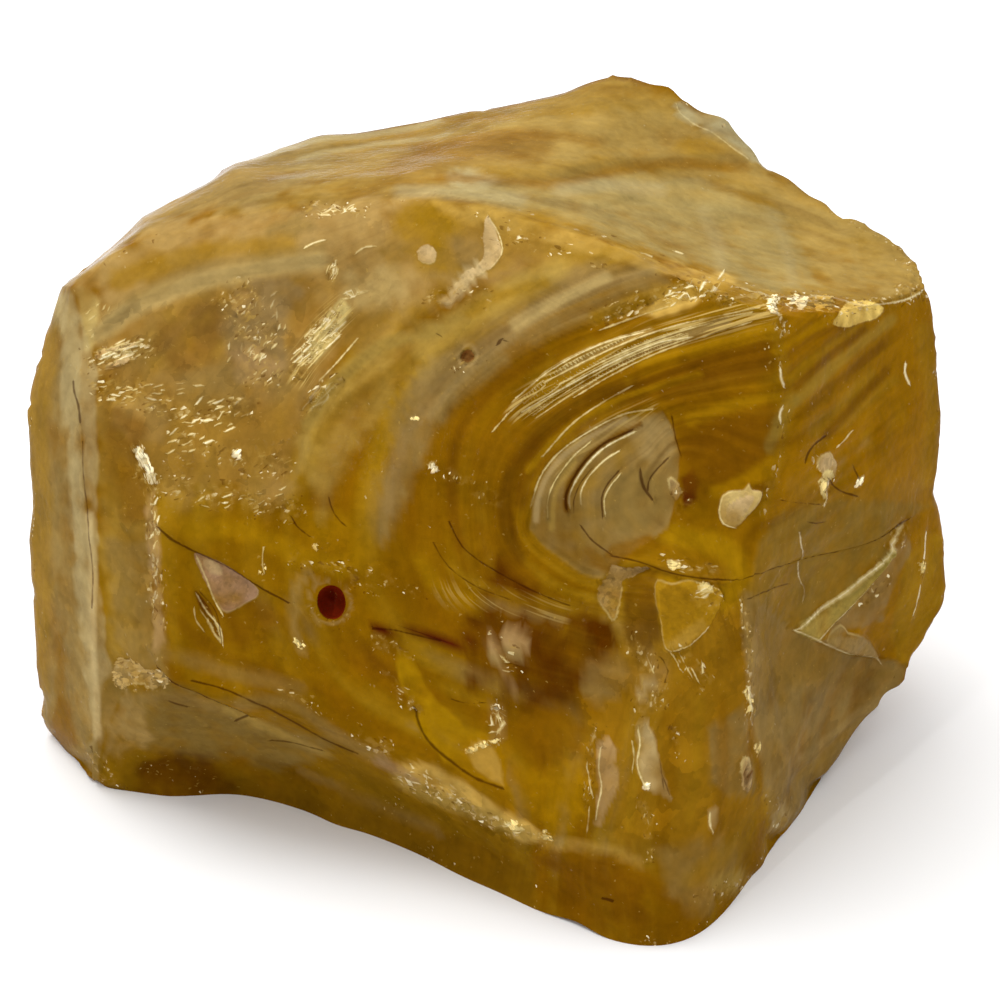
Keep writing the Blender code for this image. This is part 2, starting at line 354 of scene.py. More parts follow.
# the broken faces, as outlines on the sheet
faces = {
    "top": [(70, 290), (110, 255), (150, 231), (180, 217), (250, 215), (330, 205), (430, 195), (484, 206),
        (517, 217), (560, 228), (640, 250), (700, 270), (740, 287), (775, 297), (835, 300), (865, 305),
        (900, 300), (945, 285), (900, 180), (700, 40), (560, 60), (300, 90), (60, 200)],
    "backFacet": [(660, 60), (674, 93), (681, 114), (713, 135), (748, 159), (800, 160), (740, 60)],
    "right": [(775, 297), (772, 330), (782, 373), (782, 415), (775, 470), (760, 520), (745, 570), (745, 600),
        (793, 629), (821, 642), (847, 653), (875, 657), (890, 668), (960, 640), (990, 500), (980, 300),
        (945, 285), (900, 300), (865, 305), (835, 300)],
    "rightLow": [(745, 590), (793, 629), (821, 642), (847, 653), (875, 657), (925, 668), (900, 760),
        (780, 860), (768, 800), (760, 760), (752, 700), (750, 680)],
    "left": [(74, 289), (81, 317), (81, 352), (75, 382), (83, 442), (85, 480), (87, 509), (93, 547),
        (94, 594), (91, 647), (97, 701), (99, 733), (100, 790), (20, 790), (10, 500), (20, 300), (60, 270)],
    "leftStrip": [(74, 289), (98, 379), (95, 413), (98, 451), (97, 490), (98, 560), (106, 611), (107, 656),
        (124, 688), (100, 754), (99, 733), (97, 701), (91, 647), (94, 594), (93, 547), (87, 509), (85, 480),
        (83, 442), (75, 382), (81, 352), (81, 317)],
    "leftHollow": [(98, 379), (120, 378), (150, 440), (154, 484), (154, 528), (149, 558), (156, 594),
        (161, 647), (166, 676), (124, 688), (107, 656), (106, 611), (98, 560), (97, 490), (98, 451),
        (95, 413)],
    "under": [(100, 692), (120, 660), (166, 678), (250, 700), (282, 694), (339, 733), (375, 751), (420, 781),
        (474, 808), (525, 835), (540, 874), (545, 930), (400, 900), (200, 830), (100, 800)],
    "lobe": [(536, 849), (565, 846), (609, 852), (653, 873), (690, 905), (700, 960), (560, 960), (538, 900)]}

faceEdge = {name: insideOutline(sheet, np.array(outline, float)) for name, outline in faces.items()}
upright = normal[:, 2]
topShare = np.where(facing > 0, ease(faceEdge["top"], -2, 2), ease(upright, 0.45, 0.75))
hidden = 1 - ease(facing, -0.35, 0.05)
# how far the layers wander on the sheet, more on the sides that no traced layer reaches
wander = {"coarse": 5, "middle": 1.2, "hiddenCoarse": 50, "hiddenMiddle": 10}
drift = (wander["coarse"] * coarse + wander["middle"] * middle
         + hidden * (wander["hiddenCoarse"] * coarse + wander["hiddenMiddle"] * middle))
flow = layerNumbers(swirl, sheet) + drift
topFlow = layerNumbers(topSheets, sheet) + drift
onTop = topShare > 0.5
topOffset = 900     # keeps the layer numbers of the top apart from those of the broken face
flowAtPoint = np.where(onTop, topFlow + topOffset, flow)
print("flow layers traced")


# colours of the glass: amber where it is clear, tan and cream where it is milky
# the left bevel's pale tone is a painted highlight; rim, chip and topCream serve both for pale broken glass
# and for painted glints, highlights and reflections
tones = {name: hexToLinear(code) for name, code in {
    "honey": "#7e5503", "gold": "#90680f", "amber": "#7b4f03", "deep": "#6a4104", "brown": "#573104",
    "yellow": "#9a6f07", "tan": "#866836", "stone": "#7b602e", "cream": "#b89b6a", "mist": "#997c4b",
    "olive": "#7a560b", "darkOlive": "#6b4706", "haze": "#866a41", "maroon": "#4a0c05", "chip": "#fff3c8",
    "butter": "#a7863f", "rose": "#9b795c", "rim": "#e3cb84", "topTan": "#957434", "topMist": "#9a8350",
    "topCream": "#a7956c", "topGold": "#9c7d41", "crack": "#341002", "leftBevelHighlight": "#aa9264",
    "orange": "#8d5f04", "wallRed": "#84260c", "wallBrown": "#a8743a", "bandPale": "#ad9059",
    "glow": "#9a6c04", "stepYellow": "#a57b17", "chipPink": "#c4a876", "sage": "#917c38",
    "shoulderTan": "#a3814a", "crestGold": "#c1984a", "ribMist": "#a78252", "lowBrown": "#552c02",
    "cornerGold": "#edca6c", "paleGold": "#c4a866", "silk": "#c9ab62", "leftTan": "#8b6f3e",
    "lowTan": "#826121"}.items()}

veil = [(-1.0, "brown"), (-0.62, "deep"), (-0.3, "amber"), (0.05, "honey"), (0.35, "gold"), (0.6, "tan"),
        (1.0, "mist")]


# milkiness from -1 (clear dark amber) to 1 (cream) turned into colour
def milkColour(milk):
    stops = [stop for stop, name in veil]
    return np.stack([np.interp(milk, stops, [tones[name][k] for stop, name in veil]) for k in range(3)], 1)


def layerNoise(scale, seed):
    cuts = np.arange(-700, 1400)       # all the layer numbers on the chunk
    wave = np.array([noise.noise(Vector((cut / scale, seed * 5.3, 0.7))) for cut in cuts])
    return np.interp(flowAtPoint, cuts, wave)


clouding = {"ground": 0.05, "broad": 0.6, "narrow": 0.3, "coarse": 0.5, "middle": 0.2, "range": (-0.9, 0.95)}
milk = (clouding["ground"] + clouding["broad"] * layerNoise(38, 1) + clouding["narrow"] * layerNoise(12, 2)
        + clouding["coarse"] * coarse + clouding["middle"] * middle)
tint = milkColour(np.clip(milk, *clouding["range"]))

balance = np.array([0.985, 1.035, 1.0])     # the whole lump leans a little to green

# soft areas of one tone: tone, strength, softness, outline
areas = {
    "topGround": ("topTan", 0.8, 10, faces["top"]),
    "topGold": ("topGold", 0.85, 6, [(380, 160), (440, 140), (520, 120), (600, 110), (690, 118), (740, 150),
        (748, 170), (690, 160), (600, 160), (520, 168), (450, 173), (400, 176)]),
    "topEdgeGold": ("topGold", 0.85, 7, [(745, 158), (780, 176), (838, 216), (862, 250), (868, 290),
        (836, 288), (806, 246), (770, 204)]),
    "topMist": ("topMist", 0.62, 8, [(545, 182), (640, 172), (720, 182), (770, 206), (802, 246), (818, 288),
        (775, 290), (740, 281), (700, 264), (620, 240), (560, 218), (470, 202), (440, 190), (480, 182)]),
    "topCorner": ("topGold", 0.75, 7, [(838, 222), (870, 225), (905, 250), (925, 285), (890, 298),
        (860, 280)]),
    # painted reflection of the bright room on the pale top left
    "topLeftSheen": ("topCream", 0.25, 10, [(150, 228), (200, 185), (260, 155), (330, 135), (330, 175),
        (255, 205), (190, 218)]),
    "topLeftDusk": ("tan", 0.6, 12, [(150, 230), (200, 180), (260, 152), (310, 145), (270, 185),
        (200, 216)]),
    "topLens": ("topCream", 0.7, 5, [(448, 170), (470, 166), (492, 176), (500, 186), (470, 190),
        (445, 182)]),
    "topSpot": ("gold", 0.6, 7, [(672, 142), (700, 136), (724, 144), (728, 158), (700, 160), (676, 156)]),
    "backFacet": ("topCream", 0.9, 2, faces["backFacet"]),
    "cheekGround": ("shoulderTan", 0.45, 30, [(90, 290), (200, 235), (330, 205), (420, 200), (520, 225),
        (560, 250), (440, 300), (350, 360), (300, 430), (290, 500), (160, 490), (100, 420)]),
    "noseGround": ("butter", 0.14, 24, [(560, 660), (640, 600), (740, 560), (750, 700), (765, 800),
        (700, 880), (600, 840), (550, 780)]),
    "hollowGround": ("butter", 0.35, 10, faces["leftHollow"]),
    "shoulder": ("shoulderTan", 0.65, 14, [(95, 270), (160, 225), (250, 210), (330, 205), (400, 205),
        (320, 260), (200, 275), (110, 310)]),
    "shoulderRight": ("shoulderTan", 0.7, 16, [(300, 215), (360, 204), (430, 200), (430, 226), (400, 250),
        (370, 275), (330, 285), (300, 262)]),
    "browGround": ("shoulderTan", 0.6, 16, [(400, 225), (480, 212), (560, 238), (600, 258), (520, 270),
        (460, 290), (410, 300), (380, 270)]),
    "cornerPale": ("paleGold", 0.6, 4, [(72, 290), (78, 284), (92, 284), (100, 300), (96, 320), (92, 350),
        (86, 350), (80, 315)]),
    "shoulderDark": ("stone", 0.55, 8, [(262, 222), (300, 216), (318, 224), (296, 234), (268, 234)]),
    "cheekDark": ("deep", 0.5, 14, [(165, 320), (190, 300), (232, 292), (228, 330), (215, 365), (175, 372),
        (150, 350)]),
    "cheekHaze": ("haze", 0.72, 10, [(228, 282), (280, 276), (312, 290), (285, 320), (282, 376), (245, 372),
        (224, 345)]),
    "hazeLow": ("ribMist", 0.95, 7, [(230, 352), (262, 350), (280, 366), (262, 388), (236, 382)]),
    "cheekMid": ("shoulderTan", 0.95, 8, [(112, 402), (150, 398), (172, 414), (160, 440), (130, 440),
        (112, 424)]),
    "cheekTan": ("tan", 0.6, 12, [(185, 380), (235, 362), (290, 375), (285, 405), (230, 415), (180, 410)]),
    "cheekGold": ("honey", 0.45, 20, [(100, 390), (180, 400), (290, 400), (300, 450), (240, 490), (160, 480),
        (110, 440)]),
    "hollowBrown": ("deep", 0.55, 10, [(104, 395), (140, 420), (150, 470), (148, 520), (125, 520),
        (104, 470)]),
    "hollowTan": ("tan", 0.6, 10, [(110, 540), (150, 545), (158, 610), (164, 668), (130, 676), (112, 620)]),
    "leftGround": ("leftTan", 0.85, 4, faces["left"]),
    "leftOuter": ("gold", 0.6, 7, [(20, 320), (60, 330), (50, 400), (48, 480), (52, 600), (48, 690),
        (20, 700)]),
    # painted highlight down the left bevel
    "leftBevelHighlight": ("leftBevelHighlight", 0.75, 5, [(58, 292), (76, 292), (81, 330), (78, 380), (81, 477), (90, 540),
        (94, 600), (95, 660), (99, 745), (92, 745), (82, 650), (76, 560), (68, 470), (62, 380)]),
    "leftToe": ("amber", 0.75, 4, [(52, 738), (60, 694), (70, 700), (80, 745), (60, 750)]),
    # the bevel strip is painted in the highlight tone too: painted highlight
    "leftStrip": ("leftBevelHighlight", 0.55, 3, faces["leftStrip"]),
    "sill": ("honey", 0.55, 16, [(170, 520), (300, 505), (380, 560), (390, 650), (300, 690), (200, 660),
        (165, 600)]),
    "sillYellow": ("yellow", 0.45, 14, [(300, 500), (350, 520), (370, 560), (340, 580), (305, 550)]),
    "sillDeep": ("deep", 0.6, 10, [(205, 600), (260, 600), (290, 625), (260, 650), (215, 640)]),
    "undercut": ("olive", 0.7, 5, faces["under"]),
    "undercutTan": ("stone", 0.75, 12, [(118, 690), (160, 684), (250, 712), (330, 745), (300, 770),
        (200, 760), (125, 740)]),
    # painted shade in the recess under the overhang near the foot
    "undercutShade": ("lowBrown", 0.7, 9, [(140, 765), (165, 752), (215, 760), (240, 790), (222, 812),
        (170, 812), (135, 800)]),
    "footTan": ("shoulderTan", 0.6, 8, [(106, 706), (140, 706), (150, 740), (120, 756), (104, 748)]),
    "undercutFoot": ("darkOlive", 0.6, 9, [(230, 788), (330, 800), (400, 815), (520, 870), (530, 900),
        (400, 860), (250, 815)]),
    "lobe": ("amber", 0.75, 5, faces["lobe"]),
    "lobeDark": ("deep", 0.65, 12, [(548, 862), (600, 862), (640, 885), (650, 915), (600, 935), (555, 905)]),
    "bandTan": ("tan", 0.8, 9, [(655, 256), (600, 262), (540, 296), (480, 336), (428, 384), (396, 440),
        (380, 500), (378, 545), (398, 520), (415, 470), (440, 425), (452, 408), (488, 380), (524, 352),
        (562, 332), (600, 316), (640, 300), (668, 282)]),
    "bandGold": ("butter", 0.45, 12, [(300, 440), (340, 380), (400, 335), (460, 308), (540, 262), (570, 240),
        (590, 250), (520, 300), (450, 345), (390, 400), (345, 470), (320, 520)]),
    "browYellow": ("gold", 0.7, 12, [(392, 222), (430, 202), (482, 208), (560, 232), (640, 254), (600, 262),
        (520, 262), (470, 280), (420, 270)]),
    "browAmber": ("gold", 0.8, 5, [(388, 236), (392, 212), (412, 201), (440, 198), (456, 206), (452, 232),
        (440, 246), (414, 240)]),
    "browHaze": ("haze", 0.6, 7, [(450, 240), (476, 232), (492, 250), (478, 268), (456, 266)]),
    "browOlive": ("olive", 0.55, 6, [(376, 250), (392, 238), (416, 242), (414, 262), (390, 268)]),
    "browMid": ("bandPale", 0.55, 16, [(350, 276), (384, 268), (410, 280), (404, 304), (372, 310),
        (350, 298)]),
    "streakOlive": ("olive", 0.5, 9, [(335, 345), (350, 318), (388, 308), (392, 322), (365, 350),
        (338, 378)]),
    "longLow": ("chipPink", 0.75, 1.5, [(436, 306), (450, 290), (462, 274), (480, 262), (486, 272),
        (472, 284), (462, 297), (452, 307)]),
    "outerAmber": ("amber", 0.75, 8, [(452, 410), (490, 380), (524, 353), (562, 333), (600, 318), (640, 303),
        (700, 288), (775, 300), (772, 330), (700, 345), (640, 372), (580, 402), (545, 430), (520, 465),
        (508, 500), (512, 540), (540, 590), (600, 620), (560, 640), (500, 615), (460, 570), (444, 520),
        (444, 460)]),
    "innerDeep": ("deep", 0.7, 8, [(514, 500), (524, 455), (550, 424), (585, 398), (640, 376), (700, 358),
        (770, 342), (772, 380), (700, 394), (650, 410), (620, 414), (590, 430), (560, 450), (540, 476),
        (528, 510), (520, 520)]),
    "lowDeep": ("lowBrown", 0.9, 12, [(500, 560), (540, 596), (600, 612), (620, 640), (600, 690),
        (540, 700), (470, 690), (455, 640), (480, 600)]),
    "lowBrown": ("lowBrown", 0.75, 10, [(500, 676), (560, 676), (600, 680), (600, 716), (540, 722),
        (490, 706)]),
    "eye": ("tan", 0.92, 2, [(663, 411), (640, 415), (620, 419), (596, 431), (563, 452), (543, 477),
        (532, 508), (528, 530), (542, 546), (562, 561), (583, 575), (603, 579), (620, 560), (650, 540),
        (668, 528), (676, 498), (680, 455), (672, 430)]),
    "eyeShade": ("stone", 0.6, 7, [(604, 500), (612, 478), (640, 468), (664, 480), (668, 510), (645, 530),
        (615, 530)]),
    "eyeMaroon": ("maroon", 0.75, 4, [(681, 478), (693, 470), (700, 480), (696, 500), (684, 508)]),
    "eyeAmber": ("amber", 0.75, 5, [(612, 545), (650, 536), (666, 548), (640, 556), (600, 560)]),
    "rightOfEye": ("deep", 0.55, 10, [(682, 430), (730, 415), (775, 400), (770, 450), (740, 490), (700, 500),
        (684, 470)]),
    "nose": ("orange", 0.55, 14, [(640, 560), (740, 500), (760, 540), (744, 590), (748, 700), (760, 800),
        (700, 850), (620, 840), (560, 800), (560, 720), (620, 650)]),
    "noseYellow": ("yellow", 0.8, 3, [(658, 578), (692, 578), (720, 590), (718, 606), (708, 626),
        (685, 646), (665, 648), (660, 616)]),
    "noseTan": ("tan", 0.7, 5, [(582, 668), (596, 660), (612, 657), (628, 660), (630, 680), (620, 696),
        (600, 702), (586, 694)]),
    "noseGlow": ("glow", 0.85, 12, [(520, 772), (560, 762), (592, 780), (588, 820), (560, 838), (530, 816)]),
    "noseDark": ("amber", 0.8, 10, [(520, 712), (560, 706), (584, 722), (580, 752), (548, 762),
        (522, 752)]),
    "flakeYellow": ("yellow", 0.95, 3, [(396, 652), (412, 658), (426, 686), (438, 702), (462, 724),
        (486, 736), (500, 746), (506, 764), (507, 790), (488, 781), (471, 774), (446, 760), (428, 741),
        (414, 716), (402, 690)]),
    "noseFacet": ("tan", 0.75, 4, [(708, 727), (744, 710), (752, 740), (754, 790), (730, 800), (712, 780)]),
    "noseDusk": ("brown", 0.55, 7, [(624, 576), (655, 572), (658, 640), (642, 652), (626, 640)]),
    "cornerTan": ("shoulderTan", 0.75, 4, [(62, 292), (82, 262), (112, 246), (122, 272), (100, 290),
        (80, 294)]),
    "shellDark": ("brown", 0.65, 4, [(846, 618), (862, 610), (884, 616), (880, 634), (866, 637),
        (850, 630)]),
    "lobeGlow": ("tan", 0.55, 12, [(660, 850), (720, 836), (748, 846), (724, 900), (692, 915), (668, 890)]),
    "eyeUpper": ("mist", 0.6, 6, [(625, 425), (660, 414), (672, 430), (676, 456), (650, 462), (630, 450)]),
    # painted highlight along the lit upper crest
    "crestHighlight": ("crestGold", 0.6, 4, [(432, 198), (484, 207), (560, 229), (640, 251), (700, 269),
        (738, 286), (700, 284), (640, 268), (560, 246), (484, 224), (440, 214)]),
    "goldCrumb": ("crestGold", 0.9, 5, [(640, 312), (662, 292), (690, 280), (718, 270), (736, 278),
        (716, 292), (690, 306), (664, 317)]),
    "frontToe": ("orange", 0.6, 14, [(455, 735), (505, 745), (530, 780), (545, 830), (500, 810),
        (450, 780)]),
    "rightGround": ("orange", 1.0, 5, faces["right"]),
    "rightTan": ("lowTan", 0.85, 5, [(782, 513), (757, 544), (748, 589), (757, 625), (792, 630), (820, 610),
        (852, 588), (889, 555), (908, 521), (935, 505), (860, 500), (820, 500)]),
    "rightMilk": ("stone", 0.2, 10, [(790, 480), (840, 490), (930, 480), (938, 500), (880, 520),
        (800, 520)]),
    "rim": ("gold", 0.8, 5, [(905, 560), (930, 525), (942, 540), (945, 600), (930, 650), (900, 664),
        (890, 640)]),
    "rimAmber": ("honey", 0.7, 5, [(925, 330), (940, 330), (945, 500), (930, 500), (928, 420)]),
    "lowGround": ("tan", 0.9, 4, faces["rightLow"]),
    "lowOlive": ("olive", 0.45, 10, [(752, 600), (793, 635), (847, 660), (890, 672), (860, 690), (800, 680),
        (765, 690)]),
    "chipA": ("ribMist", 0.8, 1.5, [(600, 740), (610, 738), (617, 750), (614, 762), (620, 772), (617, 788),
        (611, 802), (605, 814), (602, 828), (594, 824), (597, 804), (599, 786), (596, 768), (597, 752)]),
    "chipB": ("cream", 0.85, 1.5, [(635, 724), (645, 720), (653, 732), (656, 748), (661, 762), (666, 778),
        (672, 800), (658, 796), (646, 790), (639, 776), (635, 762), (637, 744)]),
    "chipC": ("ribMist", 0.18, 1.5, [(646, 650), (656, 656), (662, 668), (668, 676), (660, 682), (654, 678),
        (648, 668)]),
    "chipD": ("cream", 0.6, 1.5, [(638, 692), (640, 684), (650, 680), (656, 684), (646, 690), (642, 700)]),
    "chipE": ("cream", 0.75, 1, [(709, 810), (713, 806), (717, 812), (716, 824), (712, 833), (709, 824)]),
    "chipF": ("mist", 0.6, 1.5, [(768, 778), (772, 788), (771, 800), (766, 794)]),
    "kneePale": ("cream", 0.5, 3, [(770, 812), (784, 804), (790, 814), (782, 830), (772, 832)]),
    "toePale": ("butter", 0.5, 4, [(706, 884), (722, 874), (744, 868), (748, 880), (732, 894), (714, 896)]),
    "spurPale": ("mist", 0.6, 3, [(126, 690), (134, 700), (128, 720), (112, 752), (104, 756), (108, 726)]),
    "browGlare": ("rim", 0.45, 5, [(306, 352), (314, 334), (328, 314), (342, 303), (348, 308), (340, 328),
        (328, 348), (316, 362)]),
    "columnLow": ("ribMist", 0.2, 3, [(488, 700), (506, 700), (504, 738), (492, 744)]),
    "knotMist": ("ribMist", 0.08, 9, [(628, 640), (652, 644), (668, 668), (664, 694), (640, 704), (628, 690),
        (632, 664)]),
    "flakeFacet": ("crestGold", 0.42, 3, [(465, 750), (480, 741), (492, 748), (499, 762), (504, 786),
        (490, 779), (476, 768)]),
    "stepFacet": ("crestGold", 0.6, 3, [(664, 646), (684, 628), (702, 612), (708, 626), (685, 647)]),
    "ribPale": ("ribMist", 0.7, 4, [(146, 500), (154, 490), (160, 560), (164, 640), (156, 650),
        (150, 600)]),
    # painted highlight along the lit ledge crest
    "ledgeHighlight": ("crestGold", 0.85, 5, [(400, 764), (430, 762), (470, 786), (520, 818), (550, 838),
        (520, 836), (470, 812), (430, 792), (404, 780)]),
    "shellUpper": ("butter", 0.9, 1.5, [(794, 629), (820, 610), (852, 588), (876, 568), (868, 582),
        (846, 604), (820, 634), (815, 640)]),
    "shellLower": ("mist", 0.85, 1.5, [(815, 640), (838, 634), (866, 638), (878, 660), (872, 657),
        (846, 652)]),
    "shellInner": ("haze", 0.65, 3, [(846, 604), (880, 570), (905, 530), (912, 548), (895, 580), (880, 620),
        (850, 630), (826, 632)])}
